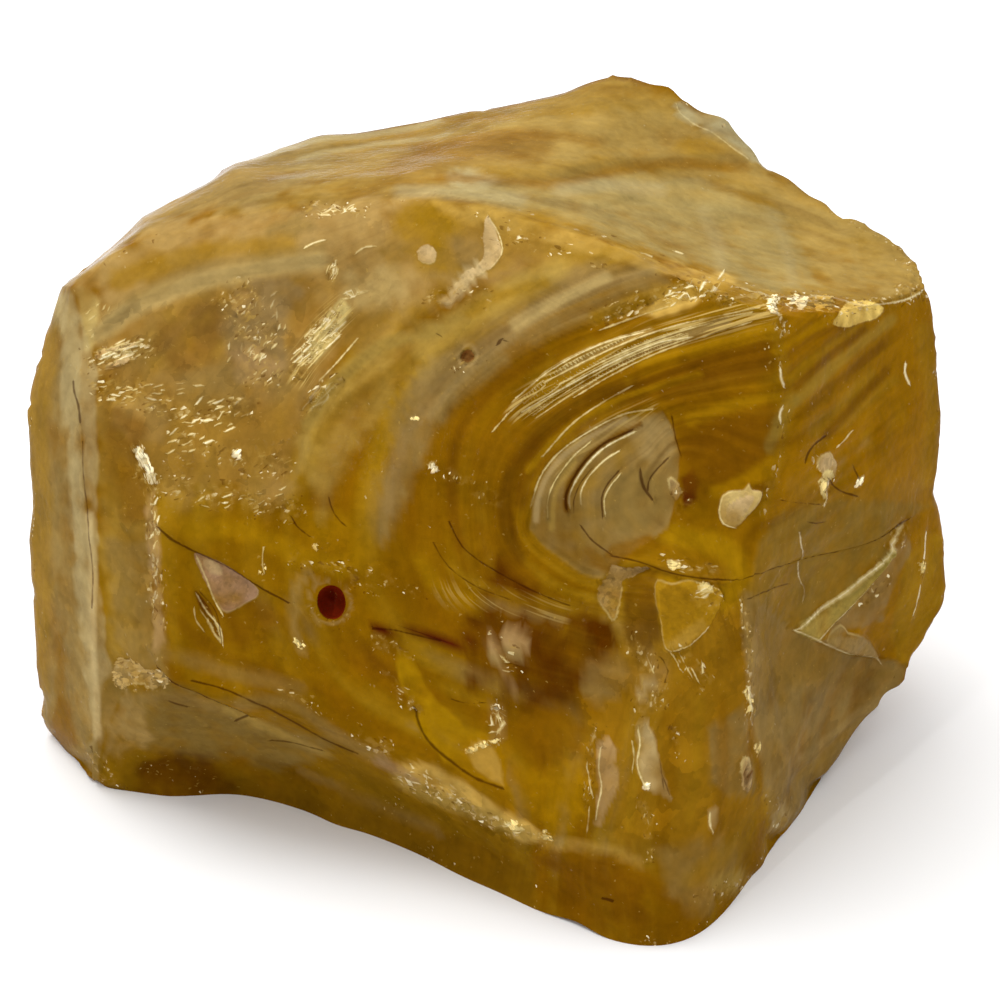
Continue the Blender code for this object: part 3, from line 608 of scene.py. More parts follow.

# streaks of one tone drawn along the flow, and painted highlights and painted shade along crests, steps and
# bevels:
# tone, strength, half width, places
streaks = {
    # painted reflection of the bright room: the cream streaks on the top left, between darker stone layers
    "topSheenA": ("topCream", 0.6, 3, [(230, 165), (300, 146), (380, 132), (440, 122)]),
    "topSilkB": ("stone", 0.5, 2, [(250, 168), (320, 152), (400, 138), (470, 124)]),
    "topSheenC": ("topCream", 0.5, 2, [(300, 160), (370, 146), (450, 136)]),
    "topSilkD": ("stone", 0.45, 2, [(480, 116), (540, 106), (600, 100), (660, 104)]),
    "topBandA": ("amber", 0.4, 5, [(420, 152), (480, 140), (540, 136), (600, 142)]),
    "topBandB": ("stone", 0.5, 4, [(500, 182), (560, 176), (620, 164), (680, 158), (745, 162)]),
    "topBandC": ("topMist", 0.55, 5, [(590, 205), (650, 200), (720, 210), (770, 226)]),
    "topBandD": ("topGold", 0.55, 4, [(660, 178), (710, 172), (756, 182), (790, 206)]),
    "topBandF": ("amber", 0.55, 4, [(440, 174), (500, 181), (560, 183), (620, 171), (680, 163), (745, 168)]),
    "topDusk": ("amber", 0.55, 12, [(400, 168), (440, 156), (480, 150), (540, 146)]),
    # painted highlights on the top face
    "topGlowA": ("topCream", 0.25, 6, [(704, 212), (716, 240), (722, 266)]),
    "topGlowB": ("topCream", 0.22, 5, [(772, 216), (786, 248), (792, 282)]),
    "topGlowC": ("topCream", 0.45, 6, [(560, 190), (610, 186), (660, 190)]),
    "topBandE": ("topCream", 0.5, 6, [(400, 190), (460, 192), (520, 200)]),
    # painted sheen along the shoulder
    "shoulderSheen": ("bandPale", 0.85, 8, [(96, 334), (137, 306), (190, 284), (250, 270), (318, 260)]),
    "shoulderGold": ("gold", 0.65, 9, [(120, 280), (170, 262), (230, 250), (290, 244)]),
    "shoulderDusk": ("stone", 0.45, 5, [(130, 300), (190, 272), (260, 258), (320, 247)]),
    # painted highlight along the cheek step, and painted shade beside it
    "cheekLight": ("butter", 0.75, 5, [(308, 424), (334, 385), (382, 347), (440, 328)]),
    "cheekLightB": ("butter", 0.3, 4, [(300, 470), (312, 430), (344, 392), (390, 362)]),
    "cheekShade": ("olive", 0.45, 5, [(322, 440), (346, 404), (390, 372), (450, 345)]),
    "bandEdge": ("mist", 0.6, 4, [(652, 270), (600, 286), (545, 312), (500, 345), (460, 380), (430, 415)]),
    "bandCore": ("haze", 0.45, 6, [(600, 275), (540, 306), (480, 350), (430, 395), (400, 450), (388, 510)]),
    "bandGreen": ("butter", 0.55, 9, [(560, 268), (505, 292), (460, 320), (425, 350)]),
    "amberA": ("deep", 0.65, 5, [(460, 545), (452, 500), (454, 450), (470, 415), (500, 382), (540, 356)]),
    "amberB": ("honey", 0.6, 5, [(474, 560), (466, 500), (470, 450), (492, 414), (530, 385), (570, 362)]),
    "amberC": ("brown", 0.55, 5, [(520, 560), (506, 520), (508, 480), (520, 455), (548, 424), (583, 400),
        (620, 385)]),
    "amberD": ("yellow", 0.5, 3, [(528, 470), (548, 448), (580, 420), (620, 398), (660, 386), (700, 374)]),
    "amberE": ("brown", 0.45, 7, [(668, 392), (712, 378), (770, 362)]),
    "amberF": ("yellow", 0.55, 4, [(640, 362), (700, 347), (770, 326)]),
    "amberG": ("deep", 0.55, 8, [(690, 450), (720, 436), (770, 418)]),
    "amberH": ("yellow", 0.5, 5, [(690, 420), (730, 406), (776, 394)]),
    "amberI": ("deep", 0.5, 5, [(700, 474), (730, 462), (766, 448)]),
    "silkGround": ("gold", 0.6, 13, [(545, 384), (600, 356), (656, 336), (710, 320), (762, 306)]),
    "silkPale": ("mist", 0.65, 4, [(612, 362), (650, 346), (690, 334), (725, 322)]),
    "silkPaleB": ("mist", 0.5, 3, [(560, 372), (600, 350), (650, 330)]),
    "goldRough": ("gold", 0.6, 8, [(598, 318), (640, 300), (680, 290), (716, 290), (752, 302)]),
    "eyeRim": ("cream", 0.55, 2.5, [(536, 520), (538, 498), (548, 474), (566, 453), (596, 433), (625, 419)]),
    "eyeGrooveA": ("deep", 0.85, 2.6, [(567, 510), (566, 497), (572, 481), (586, 460), (605, 443),
        (640, 424)]),
    "eyeGlow": ("butter", 0.6, 2.5, [(552, 528), (553, 505), (560, 482), (574, 462)]),
    "eyeGrooveB": ("stone", 0.7, 2.2, [(548, 520), (549, 500), (556, 482), (572, 460)]),
    "eyeFoot": ("amber", 0.6, 5, [(590, 552), (606, 566), (622, 560)]),
    "lowStreakA": ("gold", 0.6, 4, [(452, 570), (490, 590), (540, 604), (600, 612)]),
    "lowStreakB": ("tan", 0.5, 3, [(480, 600), (520, 612), (560, 618)]),
    "lowStreakC": ("brown", 0.6, 4, [(440, 600), (490, 622), (560, 636), (610, 640)]),
    "lowStreakD": ("yellow", 0.5, 7, [(420, 560), (440, 590), (480, 606)]),
    "sillStreakA": ("yellow", 0.55, 7, [(190, 530), (240, 530), (300, 556), (340, 570)]),
    "sillStreakB": ("deep", 0.45, 5, [(170, 610), (200, 640), (260, 670), (320, 690)]),
    "sillStreakC": ("tan", 0.45, 6, [(175, 655), (230, 672), (300, 688)]),
    "halo": ("mist", 0.4, 4, [(310, 572), (297, 590), (294, 620), (302, 650)]),
    "underStreakA": ("darkOlive", 0.55, 4, [(260, 760), (340, 790), (420, 826), (520, 866)]),
    "underStreakB": ("olive", 0.6, 6, [(340, 770), (420, 806), (500, 846)]),
    "underStreakC": ("tan", 0.5, 4, [(130, 700), (180, 700), (260, 726), (320, 752)]),
    # painted highlight along the lit ledge
    "ledgeLight": ("butter", 0.65, 6, [(400, 778), (440, 800), (490, 816), (528, 836)]),
    "ledgeLightB": ("tan", 0.55, 5, [(240, 702), (290, 704), (340, 738), (385, 762)]),
    "rightBandA": ("glow", 0.6, 4, [(776, 350), (802, 336), (834, 318)]),
    "rightBandB": ("sage", 0.35, 4.5, [(794, 402), (830, 368), (872, 334), (892, 320)]),
    "rightBandC": ("gold", 0.6, 3.5, [(790, 380), (822, 350), (852, 328)]),
    "rightBandD": ("gold", 0.7, 4.5, [(812, 430), (842, 402), (870, 374)]),
    "rightBandE": ("brown", 0.38, 3.5, [(796, 388), (826, 359), (862, 330)]),
    "rightBandF": ("brown", 0.32, 3.5, [(800, 416), (836, 381), (882, 345)]),
    "rightBandG": ("amber", 0.5, 5, [(786, 366), (812, 344), (840, 324)]),
    "rightBandH": ("gold", 0.6, 4, [(838, 428), (866, 402), (894, 380)]),
    "rightBandI": ("brown", 0.5, 4, [(826, 434), (856, 402), (886, 372)]),
    "rightBandJ": ("deep", 0.5, 3, [(778, 362), (806, 340), (838, 326)]),
    "rightGold": ("gold", 0.5, 7, [(922, 330), (930, 380), (930, 430), (926, 480)]),
    "underStreakD": ("rose", 0.45, 4, [(378, 760), (398, 770), (414, 781)]),
    "underStreakE": ("tan", 0.45, 3, [(300, 772), (350, 790), (400, 812), (440, 834)]),
    "underStreakF": ("butter", 0.4, 3, [(226, 712), (280, 734), (330, 756)]),
    "rightSmear": ("sage", 0.4, 5, [(792, 398), (782, 420), (770, 446)]),
    "rightRidge": ("gold", 0.45, 4, [(776, 300), (776, 330), (786, 372), (788, 410), (778, 460),
        (764, 512)]),
    "rightFoot": ("yellow", 0.9, 10, [(676, 536), (704, 542), (730, 554), (740, 578), (726, 600)]),
    "spine": ("tan", 0.42, 4, [(747, 596), (750, 640), (757, 700), (766, 760), (776, 820)]),
    "spineLight": ("mist", 0.42, 2.5, [(745, 610), (747, 660), (753, 710), (760, 750)]),
    "lowLine": ("mist", 0.45, 3, [(800, 760), (850, 720), (890, 690)]),
    "footGlow": ("gold", 0.45, 8, [(690, 880), (730, 850), (765, 800)]),
    "noseStreakA": ("gold", 0.5, 4, [(640, 720), (634, 780), (630, 830)]),
    "noseStreakB": ("gold", 0.45, 4, [(700, 700), (696, 760), (690, 820)]),
    "noseStreakC": ("amber", 0.5, 6, [(720, 700), (722, 760), (716, 830)]),
    "noseStreakD": ("amber", 0.5, 7, [(670, 720), (668, 780), (660, 840)]),
    "maroonStreak": ("maroon", 0.95, 3.2, [(372, 630), (392, 630), (420, 636), (446, 642), (470, 644)]),
    "leftGlow": ("honey", 0.5, 4, [(60, 640), (62, 700), (72, 735)]),
    "bandLight": ("bandPale", 0.8, 5, [(606, 278), (560, 300), (516, 324)]),
    "amberJ": ("glow", 0.75, 6, [(716, 492), (750, 480), (774, 464)]),
    # painted glare down the lit edge of the left bevel
    "leftBevelGlare": ("chipPink", 0.6, 3, [(89, 516), (93, 560), (93, 620), (96, 680), (98, 736)]),
    "columnA": ("ribMist", 0.65, 1.8, [(489, 634), (506, 629), (526, 634)]),
    "columnB": ("ribMist", 0.98, 3.6, [(492, 645), (508, 641), (524, 646)]),
    "columnC": ("mist", 0.85, 3.4, [(494, 658), (508, 654), (520, 658)]),
    "columnD": ("ribMist", 0.4, 2.6, [(502, 674), (512, 682), (516, 692)]),
    "browStreak": ("gold", 0.65, 5, [(470, 312), (500, 296), (545, 283)]),
    # painted highlight on the lit upper edge of the lobe, painted shade just below it
    "lobeLitEdge": ("crestGold", 0.32, 4, [(526, 838), (545, 842), (575, 845), (609, 850), (640, 862)]),
    "lobeShade": ("deep", 0.25, 4, [(545, 858), (600, 861), (645, 881), (676, 907)]),
    "ribGold": ("gold", 0.45, 6, [(164, 500), (168, 560), (172, 620), (176, 660)])}


# the two open bubbles: where each breaks the surface, its radius in mm and the tone of its wall
bubbles = {
    "large": ((-20.1, -30.1, 37.6), 2.6, "wallRed"),
    "small": ((-2.7, -22.2, 68.3), 1.25, "wallBrown")}


def paint(name, mask, strength):
    tint[mask[0]] += (tones[name] - tint[mask[0]]) * (mask[1] * strength)[:, None]


# the borders wander and the tone is a little uneven, as clouds in glass are
for tone, strength, soft, outline in areas.values():
    curve = np.array(outline, float)
    hit = around(curve, soft * 2)
    edge = insideOutline(sheet[hit], curve) + (0.8 + 0.6 * soft) * (middle[hit] + 0.8 * fine[hit])
    uneven = np.clip(0.92 + 0.5 * middle[hit] + 0.45 * fine[hit], 0.3, 1.15)
    paint(tone, (hit, ease(edge, -0.7 * soft, 0.7 * soft) * uneven * seen[hit]), strength)
for tone, strength, half, line in streaks.values():
    curve = curveThrough(line)
    hit = around(curve, half * 3 + 4)
    away, side, past = nearLine(sheet[hit], curve)
    away = away + half * (0.35 * middle[hit] + 0.3 * fine[hit])
    paint(tone, (hit, (1 - ease(away, half * 0.4, half * 1.9)) * seen[hit]), strength)
# the wall of a bubble lies below the level of the glass round its mouth
for mouth, radius, wallTone in bubbles.values():
    reach = co - np.array(mouth)
    fromMouth = np.linalg.norm(reach, axis=1)
    ring = (fromMouth > radius * 1.5) & (fromMouth < radius * 2.4) & (facing > 0.3)
    outward = normal[ring].mean(0) / np.linalg.norm(normal[ring].mean(0))
    depth = (co[ring].mean(0) - co) @ outward
    off = np.linalg.norm(reach - (reach @ outward)[:, None] * outward, axis=1)
    wall = (depth > 0.3) & (depth < 6) & (off < radius * 1.35)
    onRim = (depth < 0.3) & (depth > -1) & (fromMouth < radius * 3)
    rimShare = 0.22 * ease(np.abs(off - radius * 1.04), 0.3, 0.05) * onRim
    tint += (tones["cream"] - tint) * rimShare[:, None]
    tint[wall] = tones[wallTone]
tint *= balance
print("tones laid in", len(areas), "areas and", len(streaks), "streaks")


# chips that stand off the face with a crisp edge, the glints, sparks and glares among them painted glints
# on small raised chips: tone, step in mm (- is sunk), how much the edge glints, how gritty the chip is,
# outline
flakes = {
    "roundChip": ("cream", -0.2, 0.3, 0.2, [(417, 250), (424, 244), (433, 246), (437, 256), (431, 264),
        (421, 262), (416, 256)]),
    "longChip": ("chipPink", -0.25, 0.35, 0.2, [(486, 214), (495, 226), (498, 240), (502, 250), (496, 262),
        (489, 269), (476, 276), (466, 286), (456, 300), (446, 305), (434, 304), (446, 296), (456, 282),
        (463, 272), (478, 264), (484, 252), (482, 238), (484, 226)]),
    "paleChip": ("paleGold", 0.4, 0.7, 0.2, [(719, 507), (723, 495), (734, 491), (744, 490), (749, 484),
        (752, 490), (762, 491), (759, 502), (747, 517), (735, 528), (724, 524), (719, 516)]),
    "paleChipFace": ("cream", 0.2, 0.6, 0.3, [(728, 508), (740, 499), (752, 497), (746, 510), (736, 519),
        (729, 518)]),
    "sliver": ("mist", -0.5, 0.9, 0.4, [(612, 566), (628, 568), (640, 567), (652, 566), (641, 572),
        (630, 577), (622, 580), (621, 592), (619, 604), (617, 614), (613, 621), (607, 612), (602, 606),
        (597, 598), (599, 588), (604, 580), (609, 574)]),
    "yellowStep": ("stepYellow", 0.55, 0.4, 0.15, [(658, 580), (672, 584), (688, 580), (704, 584),
        (721, 591), (719, 605), (708, 626), (698, 636), (685, 648), (672, 650), (665, 648), (662, 632),
        (660, 616), (656, 596)]),
    "stepHollow": ("gold", -0.15, 0.15, 0.1, [(664, 590), (684, 588), (694, 600), (692, 614), (680, 632),
        (668, 638), (664, 616)]),
    "stepSpark": ("rim", 0.1, 0.8, 1.4, [(698, 586), (704, 583), (710, 584), (709, 590), (703, 592),
        (699, 591)]),
    "stepSparkB": ("rim", 0.3, 0.6, 1.0, [(667, 561), (674, 560), (681, 566), (678, 571), (671, 568)]),
    "flakeStroke": ("rim", 0.2, 0.5, 1.0, [(467, 749), (480, 744), (505, 736), (500, 741), (484, 748),
        (470, 753)]),
    "pinkFlake": ("rose", -0.35, 0.25, 0.25, [(194, 554), (212, 558), (234, 570), (258, 592), (244, 604),
        (226, 612), (214, 598), (202, 576)]),
    "pinkGlint": ("cream", 0.2, 0.6, 1.0, [(203, 563), (210, 562), (219, 570), (217, 575), (209, 571)]),
    "wing": ("brown", -0.3, 0.9, 0.3, [(195, 591), (202, 598), (210, 610), (216, 624), (222, 643),
        (216, 636), (208, 622), (200, 608)]),
    "shellUpper": ("sage", 0.5, 0.3, 0.15, [(792, 629), (804, 619), (820, 610), (840, 598), (856, 587),
        (870, 573), (884, 558), (893, 548), (895, 552), (884, 566), (872, 580), (862, 592), (852, 602),
        (842, 612), (832, 622), (824, 634), (820, 642)]),
    "shellLower": ("leftTan", 0.35, 0.5, 0.15, [(824, 640), (838, 624), (846, 632), (860, 635), (868, 642),
        (877, 658), (862, 656), (846, 652)]),
    "cornerChip": ("cornerGold", -0.12, 0.35, 0.15, [(832, 324), (838, 314), (846, 304), (858, 301),
        (872, 302), (884, 308), (876, 318), (862, 322), (846, 327)]),
    "cornerWedgeA": ("chip", 0.1, 0.8, 1.4, [(767, 298), (778, 298), (777, 304), (774, 317), (771, 311)]),
    "cornerWedgeB": ("chip", 0.1, 0.8, 1.4, [(789, 298), (799, 298), (796, 304), (791, 309)]),
    "cornerStrip": ("butter", 0.2, 0.3, 1.0, [(800, 299), (832, 299), (830, 310), (812, 311), (798, 309)]),
    "starChip": ("cream", 0.25, 0.5, 0.3, [(815, 461), (818, 456), (826, 452), (832, 460), (834, 470),
        (830, 478), (824, 480), (820, 474), (816, 468)]),
    "starGlint": ("rim", 0.1, 0.8, 1.4, [(821, 472), (828, 471), (829, 477), (824, 479)]),
    "starTail": ("rim", 0.15, 0.2, 1.0, [(819, 480), (824, 481), (824, 492), (822, 504), (820, 492)]),
    "starBit": ("chip", 0.2, 0.5, 1.0, [(853, 486), (856, 478), (861, 475), (860, 482), (856, 487)]),
    "rimGlint": ("rim", 0.2, 0.6, 1.0, [(916, 566), (922, 562), (926, 564), (924, 574), (921, 578),
        (920, 570)]),
    "streakGlint": ("chip", 0.1, 0.8, 1.4, [(643, 784), (648, 784), (648, 789), (643, 789)]),
    "pitA": ("cream", 0.3, 0.7, 0.5, [(744, 756), (748, 757), (751, 768), (751, 780), (748, 791),
        (743, 792), (741, 780), (742, 766)]),
    "pitAHole": ("brown", -0.4, 0.0, 0.4, [(745, 770), (748, 774), (747, 783), (744, 784), (743, 777)]),
    "spineGlint": ("rim", 0.1, 0.8, 1.4, [(745, 687), (748, 693), (750, 702), (752, 711), (750, 722),
        (748, 717), (747, 707), (745, 698)]),
    "spineBit": ("rim", 0.2, 0.4, 1.0, [(756, 742), (760, 744), (759, 754), (756, 752)]),
    "eyeChip": ("mist", 0.25, 0.6, 0.4, [(669, 478), (678, 482), (682, 492), (676, 500), (670, 492)]),
    "cheekGlare": ("chip", 0.2, 0.2, 1.0, [(134, 448), (140, 446), (147, 454), (150, 464), (156, 474),
        (157, 484), (150, 482), (145, 472), (140, 464), (136, 456)]),
    "cheekSpark": ("chip", 0.1, 0.8, 1.4, [(233, 453), (237, 450), (241, 454), (239, 460), (234, 459)]),
    "scratchA": ("cream", 0.2, 0.7, 1.0, [(94, 354), (104, 350), (118, 345), (133, 342), (135, 346),
        (124, 352), (108, 357), (96, 359)]),
    "scratchB": ("cream", 0.2, 0.7, 1.0, [(104, 368), (112, 362), (122, 358), (129, 358), (124, 364),
        (112, 369)]),
    "bandSpark": ("chip", 0.1, 0.8, 1.4, [(429, 468), (432, 463), (437, 466), (440, 471), (434, 472)]),
    "bandFleck": ("rim", 0.15, 0.5, 1.0, [(410, 419), (413, 416), (418, 419), (413, 422)]),
    "sillGlint": ("rim", 0.2, 0.5, 1.0, [(312, 545), (317, 541), (322, 547), (318, 551)]),
    "sillDash": ("rim", 0.15, 0.3, 1.0, [(260, 576), (262, 562), (266, 561), (265, 570), (263, 578)]),
    "haloGlint": ("rim", 0.15, 0.4, 1.0, [(295, 646), (297, 638), (304, 642), (303, 648)]),
    "lowGlintC": ("chip", 0.1, 0.8, 1.4, [(492, 704), (505, 703), (502, 710), (493, 711)]),
    "ledgeCrumbC": ("rim", 0.1, 0.8, 1.4, [(506, 823), (514, 820), (524, 826), (521, 830), (511, 829)]),
    "ledgeCrumbD": ("rim", 0.1, 0.8, 1.4, [(539, 835), (548, 833), (553, 838), (549, 841), (541, 839)]),
    "ledgeScab": ("bandPale", -0.3, 0.5, 0.9, [(116, 660), (130, 660), (146, 672), (164, 672), (168, 686),
        (150, 690), (134, 682), (120, 690), (114, 676)])}

# on the sheet: where the light comes from, and towards where a chip stands out more
chipping = {"light": (-0.45, -0.89), "lean": (0.5, -0.8), "leanBy": 0.5, "cover": 0.66, "far": -40.0}
flakeEdge = np.full(len(co), chipping["far"])
flakeLit = np.zeros(len(co))      # + on the edge of a chip that looks up to the light, - where it looks down
flakeGrit = np.full(len(co), 0.5)
flakeTint = tint.copy()
relief = np.zeros(len(co))
for tone, step, glint, grit, outline in flakes.values():
    curve = curveThrough(outline, closed=True, step=4.0)
    hit = around(curve, 30)
    edge = insideOutline(sheet[hit], curve)
    edge[facing[hit] < 0.05] = chipping["far"]
    centre = curve.mean(0)
    outward = (sheet[hit] - centre) / (np.linalg.norm(sheet[hit] - centre, axis=1)[:, None] + 1e-6)
    top = edge > flakeEdge[hit]
    flakeLit[hit[top]] = ((outward @ np.array(chipping["light"])) * np.sign(step) * glint)[top]
    near = edge > np.where(flakeEdge[hit] > 0, -1.5, -9)      # its tone reaches a little past its edge
    flakeEdge[hit] = np.maximum(flakeEdge[hit], edge)
    size = np.abs(curve - centre).max()
    tilt = 1 + chipping["leanBy"] * ((sheet[hit] - centre) @ np.array(chipping["lean"])) / size
    flakeGrit[hit[near & top]] = grit
    uneven = 0.5 * middle[hit[near]] + 0.4 * fine[hit[near]]
    share = np.clip(chipping["cover"] + 0.9 * (tilt[near] - 1) + uneven, 0.12, 1)
    flakeTint[hit[near]] += (tones[tone] - flakeTint[hit[near]]) * share[:, None]
    relief[hit] += step * ease(edge, -3, 2.5) * tilt * seen[hit]

# fine cracks that show dark, and bright lines, broken rims and silky lines with painted glints and
# highlights:
# half width on the sheet, places
cracks = {
    "sillLong": (1.9, [(158, 527), (172, 540), (196, 552), (227, 567), (262, 588), (292, 604)]),
    "sillCurveA": (1.1, [(290, 514), (298, 528), (311, 537)]),
    "sillCurveB": (1.1, [(328, 496), (334, 514), (348, 529)]),
    "footLong": (2.4, [(156, 668), (170, 681), (194, 691), (222, 703), (249, 716)]),
    "footHook": (1.5, [(249, 717), (243, 719), (236, 721)]),
    "footSecond": (1.2, [(192, 680), (228, 690), (270, 710), (318, 736), (358, 754)]),
    "footShort": (0.9, [(270, 740), (296, 743), (324, 751)]),
    "footTiny": (0.9, [(168, 702), (176, 705), (188, 708)]),
    "outerArc": (1.1, [(449, 521), (460, 543), (477, 559), (508, 578), (540, 594), (570, 606)]),
    "outerArcB": (0.9, [(432, 540), (448, 566), (475, 586), (510, 600)]),
    "eyeCrackA": (1.5, [(567, 510), (566, 497), (572, 481), (586, 460), (605, 443), (632, 430)]),
    "eyeCrackB": (1.4, [(603, 517), (602, 498), (608, 484), (619, 471)]),
    "eyeCrackC": (1.2, [(581, 526), (592, 540), (612, 555)]),
    "eyeCrackD": (1.6, [(640, 470), (644, 488), (653, 500)]),
    "eyeCrackE": (1.3, [(668, 458), (656, 470), (649, 480), (647, 492)]),
    "eyeCrackF": (0.9, [(672, 416), (676, 440), (681, 456)]),
    "eyeCrackG": (0.9, [(574, 512), (574, 500), (580, 484), (592, 468)]),
    "underEye": (1.2, [(612, 556), (640, 562), (668, 572), (700, 578), (740, 580)]),
    "rightLong": (1.2, [(740, 580), (760, 574), (796, 561), (830, 553), (866, 545), (896, 532), (911, 518)]),
    "rightSecond": (0.8, [(748, 600), (766, 592), (790, 584)]),
    "rightArcC": (1.0, [(851, 466), (854, 472), (856, 479)]),
    "rightFlat": (0.9, [(808, 522), (816, 523), (824, 522)]),
    "lowArcA": (1.0, [(487, 664), (502, 667), (520, 666)]),
    "lowArcB": (1.1, [(448, 697), (470, 703), (496, 701)]),
    "rightArcA": (1.5, [(824, 436), (812, 446), (804, 462)]),
    "rightArcB": (1.3, [(826, 478), (838, 490), (856, 496)]),
    "rightFine": (0.7, [(780, 500), (800, 503), (818, 504)]),
    "maroonLine": (2.0, [(372, 629), (392, 630), (418, 636), (444, 642)]),
    "tinyPit": (2.2, [(498, 344), (501, 340)]),
    "pitTail": (0.9, [(503, 340), (508, 342)]),
    "fleckA": (1.9, [(603, 898), (609, 899), (614, 901)]),
    "hollowCrack": (1.3, [(74, 380), (75, 392), (79, 408), (80, 424)]),
    "leftSeam": (0.8, [(82, 440), (84, 480), (89, 530), (93, 570), (93, 610)]),
    "flakeUnder": (1.3, [(413, 708), (430, 742), (471, 774), (504, 788)]),
    "wingCrack": (0.9, [(200, 592), (216, 612), (222, 644)]),
    "chipDarkB": (0.8, [(660, 770), (665, 782), (670, 796)]),
    "chipDarkC": (1.0, [(660, 656), (668, 668), (664, 684)]),
    "streakCrack": (0.8, [(660, 760), (664, 790)]),
    "browTick": (0.8, [(435, 332), (441, 337)])}

rimsAndGlints = {
    "chipRimA": (1.2, [(601, 746), (599, 768), (602, 786), (598, 806), (596, 820)]),
    "chipRimB": (1.2, [(638, 728), (640, 744), (637, 762), (641, 778), (646, 787)]),
    "chipRimC": (1.0, [(646, 651), (650, 664), (656, 677)]),
    "chipRimE": (1.2, [(709, 812), (709, 824), (712, 832)]),
    "eyeRimA": (1.5, [(570, 508), (569, 498), (575, 482), (589, 462), (607, 446), (634, 432)]),
    "eyeRimB": (1.2, [(581, 505), (581, 491), (590, 475), (605, 460), (619, 451)]),
    "eyeRimD": (1.1, [(606, 516), (605, 499), (611, 486), (621, 474)]),
    "eyeRimE": (1.1, [(531, 506), (541, 476), (562, 450), (595, 428), (625, 414), (652, 409)]),
    "eyeRimF": (0.9, [(548, 518), (548, 500), (555, 481), (572, 458), (590, 442)]),
    "silkA": (1.3, [(522, 412), (560, 390), (609, 364), (656, 343), (692, 337)]),
    "silkB": (1.2, [(516, 398), (545, 374), (575, 356), (607, 342), (643, 332)]),
    "silkC": (1.0, [(545, 382), (600, 354), (650, 334), (700, 320), (760, 307)]),
    "silkD": (1.0, [(560, 384), (610, 358), (660, 338), (712, 322)]),
    "silkE": (0.9, [(600, 330), (640, 315), (668, 306)]),
    "silkF": (1.0, [(543, 456), (571, 425), (600, 404), (632, 386)]),
    "silkG": (0.9, [(492, 432), (510, 412), (522, 402)]),
    "silkH": (1.0, [(680, 330), (720, 318), (752, 312)]),
    "yellowRim": (1.2, [(661, 616), (666, 648), (685, 647), (700, 635), (708, 626)]),
    "shellRimA": (1.2, [(794, 629), (820, 610), (852, 588), (889, 554), (908, 521)]),
    "shellRimB": (1.2, [(794, 630), (821, 642), (847, 653), (875, 657), (882, 664)]),
    "shellRimC": (1.0, [(816, 638), (832, 622), (850, 604), (870, 584)]),
    "rimLine": (1.1, [(927, 530), (926, 546), (924, 560)]),
    "rimLineB": (1.0, [(920, 586), (917, 602), (913, 615)]),
    "ridgeGlintA": (1.7, [(779, 368), (781, 376), (783, 386)]),
    "ridgeGlintB": (1.6, [(782, 407), (780, 414), (781, 422)]),
    "rightFleck": (1.5, [(906, 364), (905, 373), (909, 384)]),
    "crestDashA": (1.0, [(640, 252), (653, 256)]),
    "crestDashB": (1.2, [(674, 251), (683, 253)]),
    "noseFinA": (1.1, [(671, 652), (677, 662), (682, 674)]),
    "noseFinB": (1.0, [(680, 654), (687, 668), (692, 678)]),
    "noseFinC": (1.0, [(688, 662), (696, 676), (700, 684)]),
    "noseFinD": (1.1, [(700, 657), (703, 666), (704, 675)]),
    "noseStrokeA": (1.1, [(586, 762), (589, 778), (594, 798)]),
    "noseStrokeB": (0.9, [(590, 806), (588, 822), (586, 836)]),
    "noseStrokeC": (0.9, [(632, 740), (634, 756), (632, 772)]),
    "gleamLineA": (1.1, [(320, 381), (336, 364), (358, 339)]),
    "gleamLineB": (1.2, [(303, 409), (314, 397), (322, 388)]),
    "gleamLineC": (1.1, [(311, 411), (322, 398), (335, 384)]),
    "sillArc": (1.0, [(194, 608), (196, 620), (204, 631)]),
    "browDashA": (1.3, [(306, 248), (315, 243), (324, 240)]),
    "browDashB": (1.5, [(355, 253), (364, 247), (375, 246)]),
    "rightThread": (0.8, [(798, 532), (801, 550), (800, 578), (806, 588), (803, 602)]),
    "starThread": (0.7, [(834, 447), (842, 439), (850, 430)]),
    "crestRimC": (1.2, [(740, 288), (775, 297), (800, 297), (835, 300), (865, 305), (900, 301), (922, 292)]),
    "pinkRimB": (1.0, [(196, 558), (206, 580), (214, 600), (223, 615)]),
    "wingA": (1.1, [(196, 594), (206, 612), (220, 628), (223, 646)]),
    "wingB": (0.9, [(200, 610), (208, 622)]),
    "starRimA": (1.1, [(826, 480), (824, 505)]),
    "backRim": (1.0, [(674, 93), (681, 114), (713, 135), (748, 159)]),
    "longChipRim": (1.1, [(486, 214), (496, 228), (502, 250), (490, 268)]),
    "paleChipRim": (1.1, [(735, 528), (724, 524), (719, 512), (723, 496), (733, 491)]),
    "sillRim": (0.9, [(264, 545), (263, 562), (266, 576)]),
    "noseRimC": (1.0, [(748, 684), (749, 706), (752, 726)])}


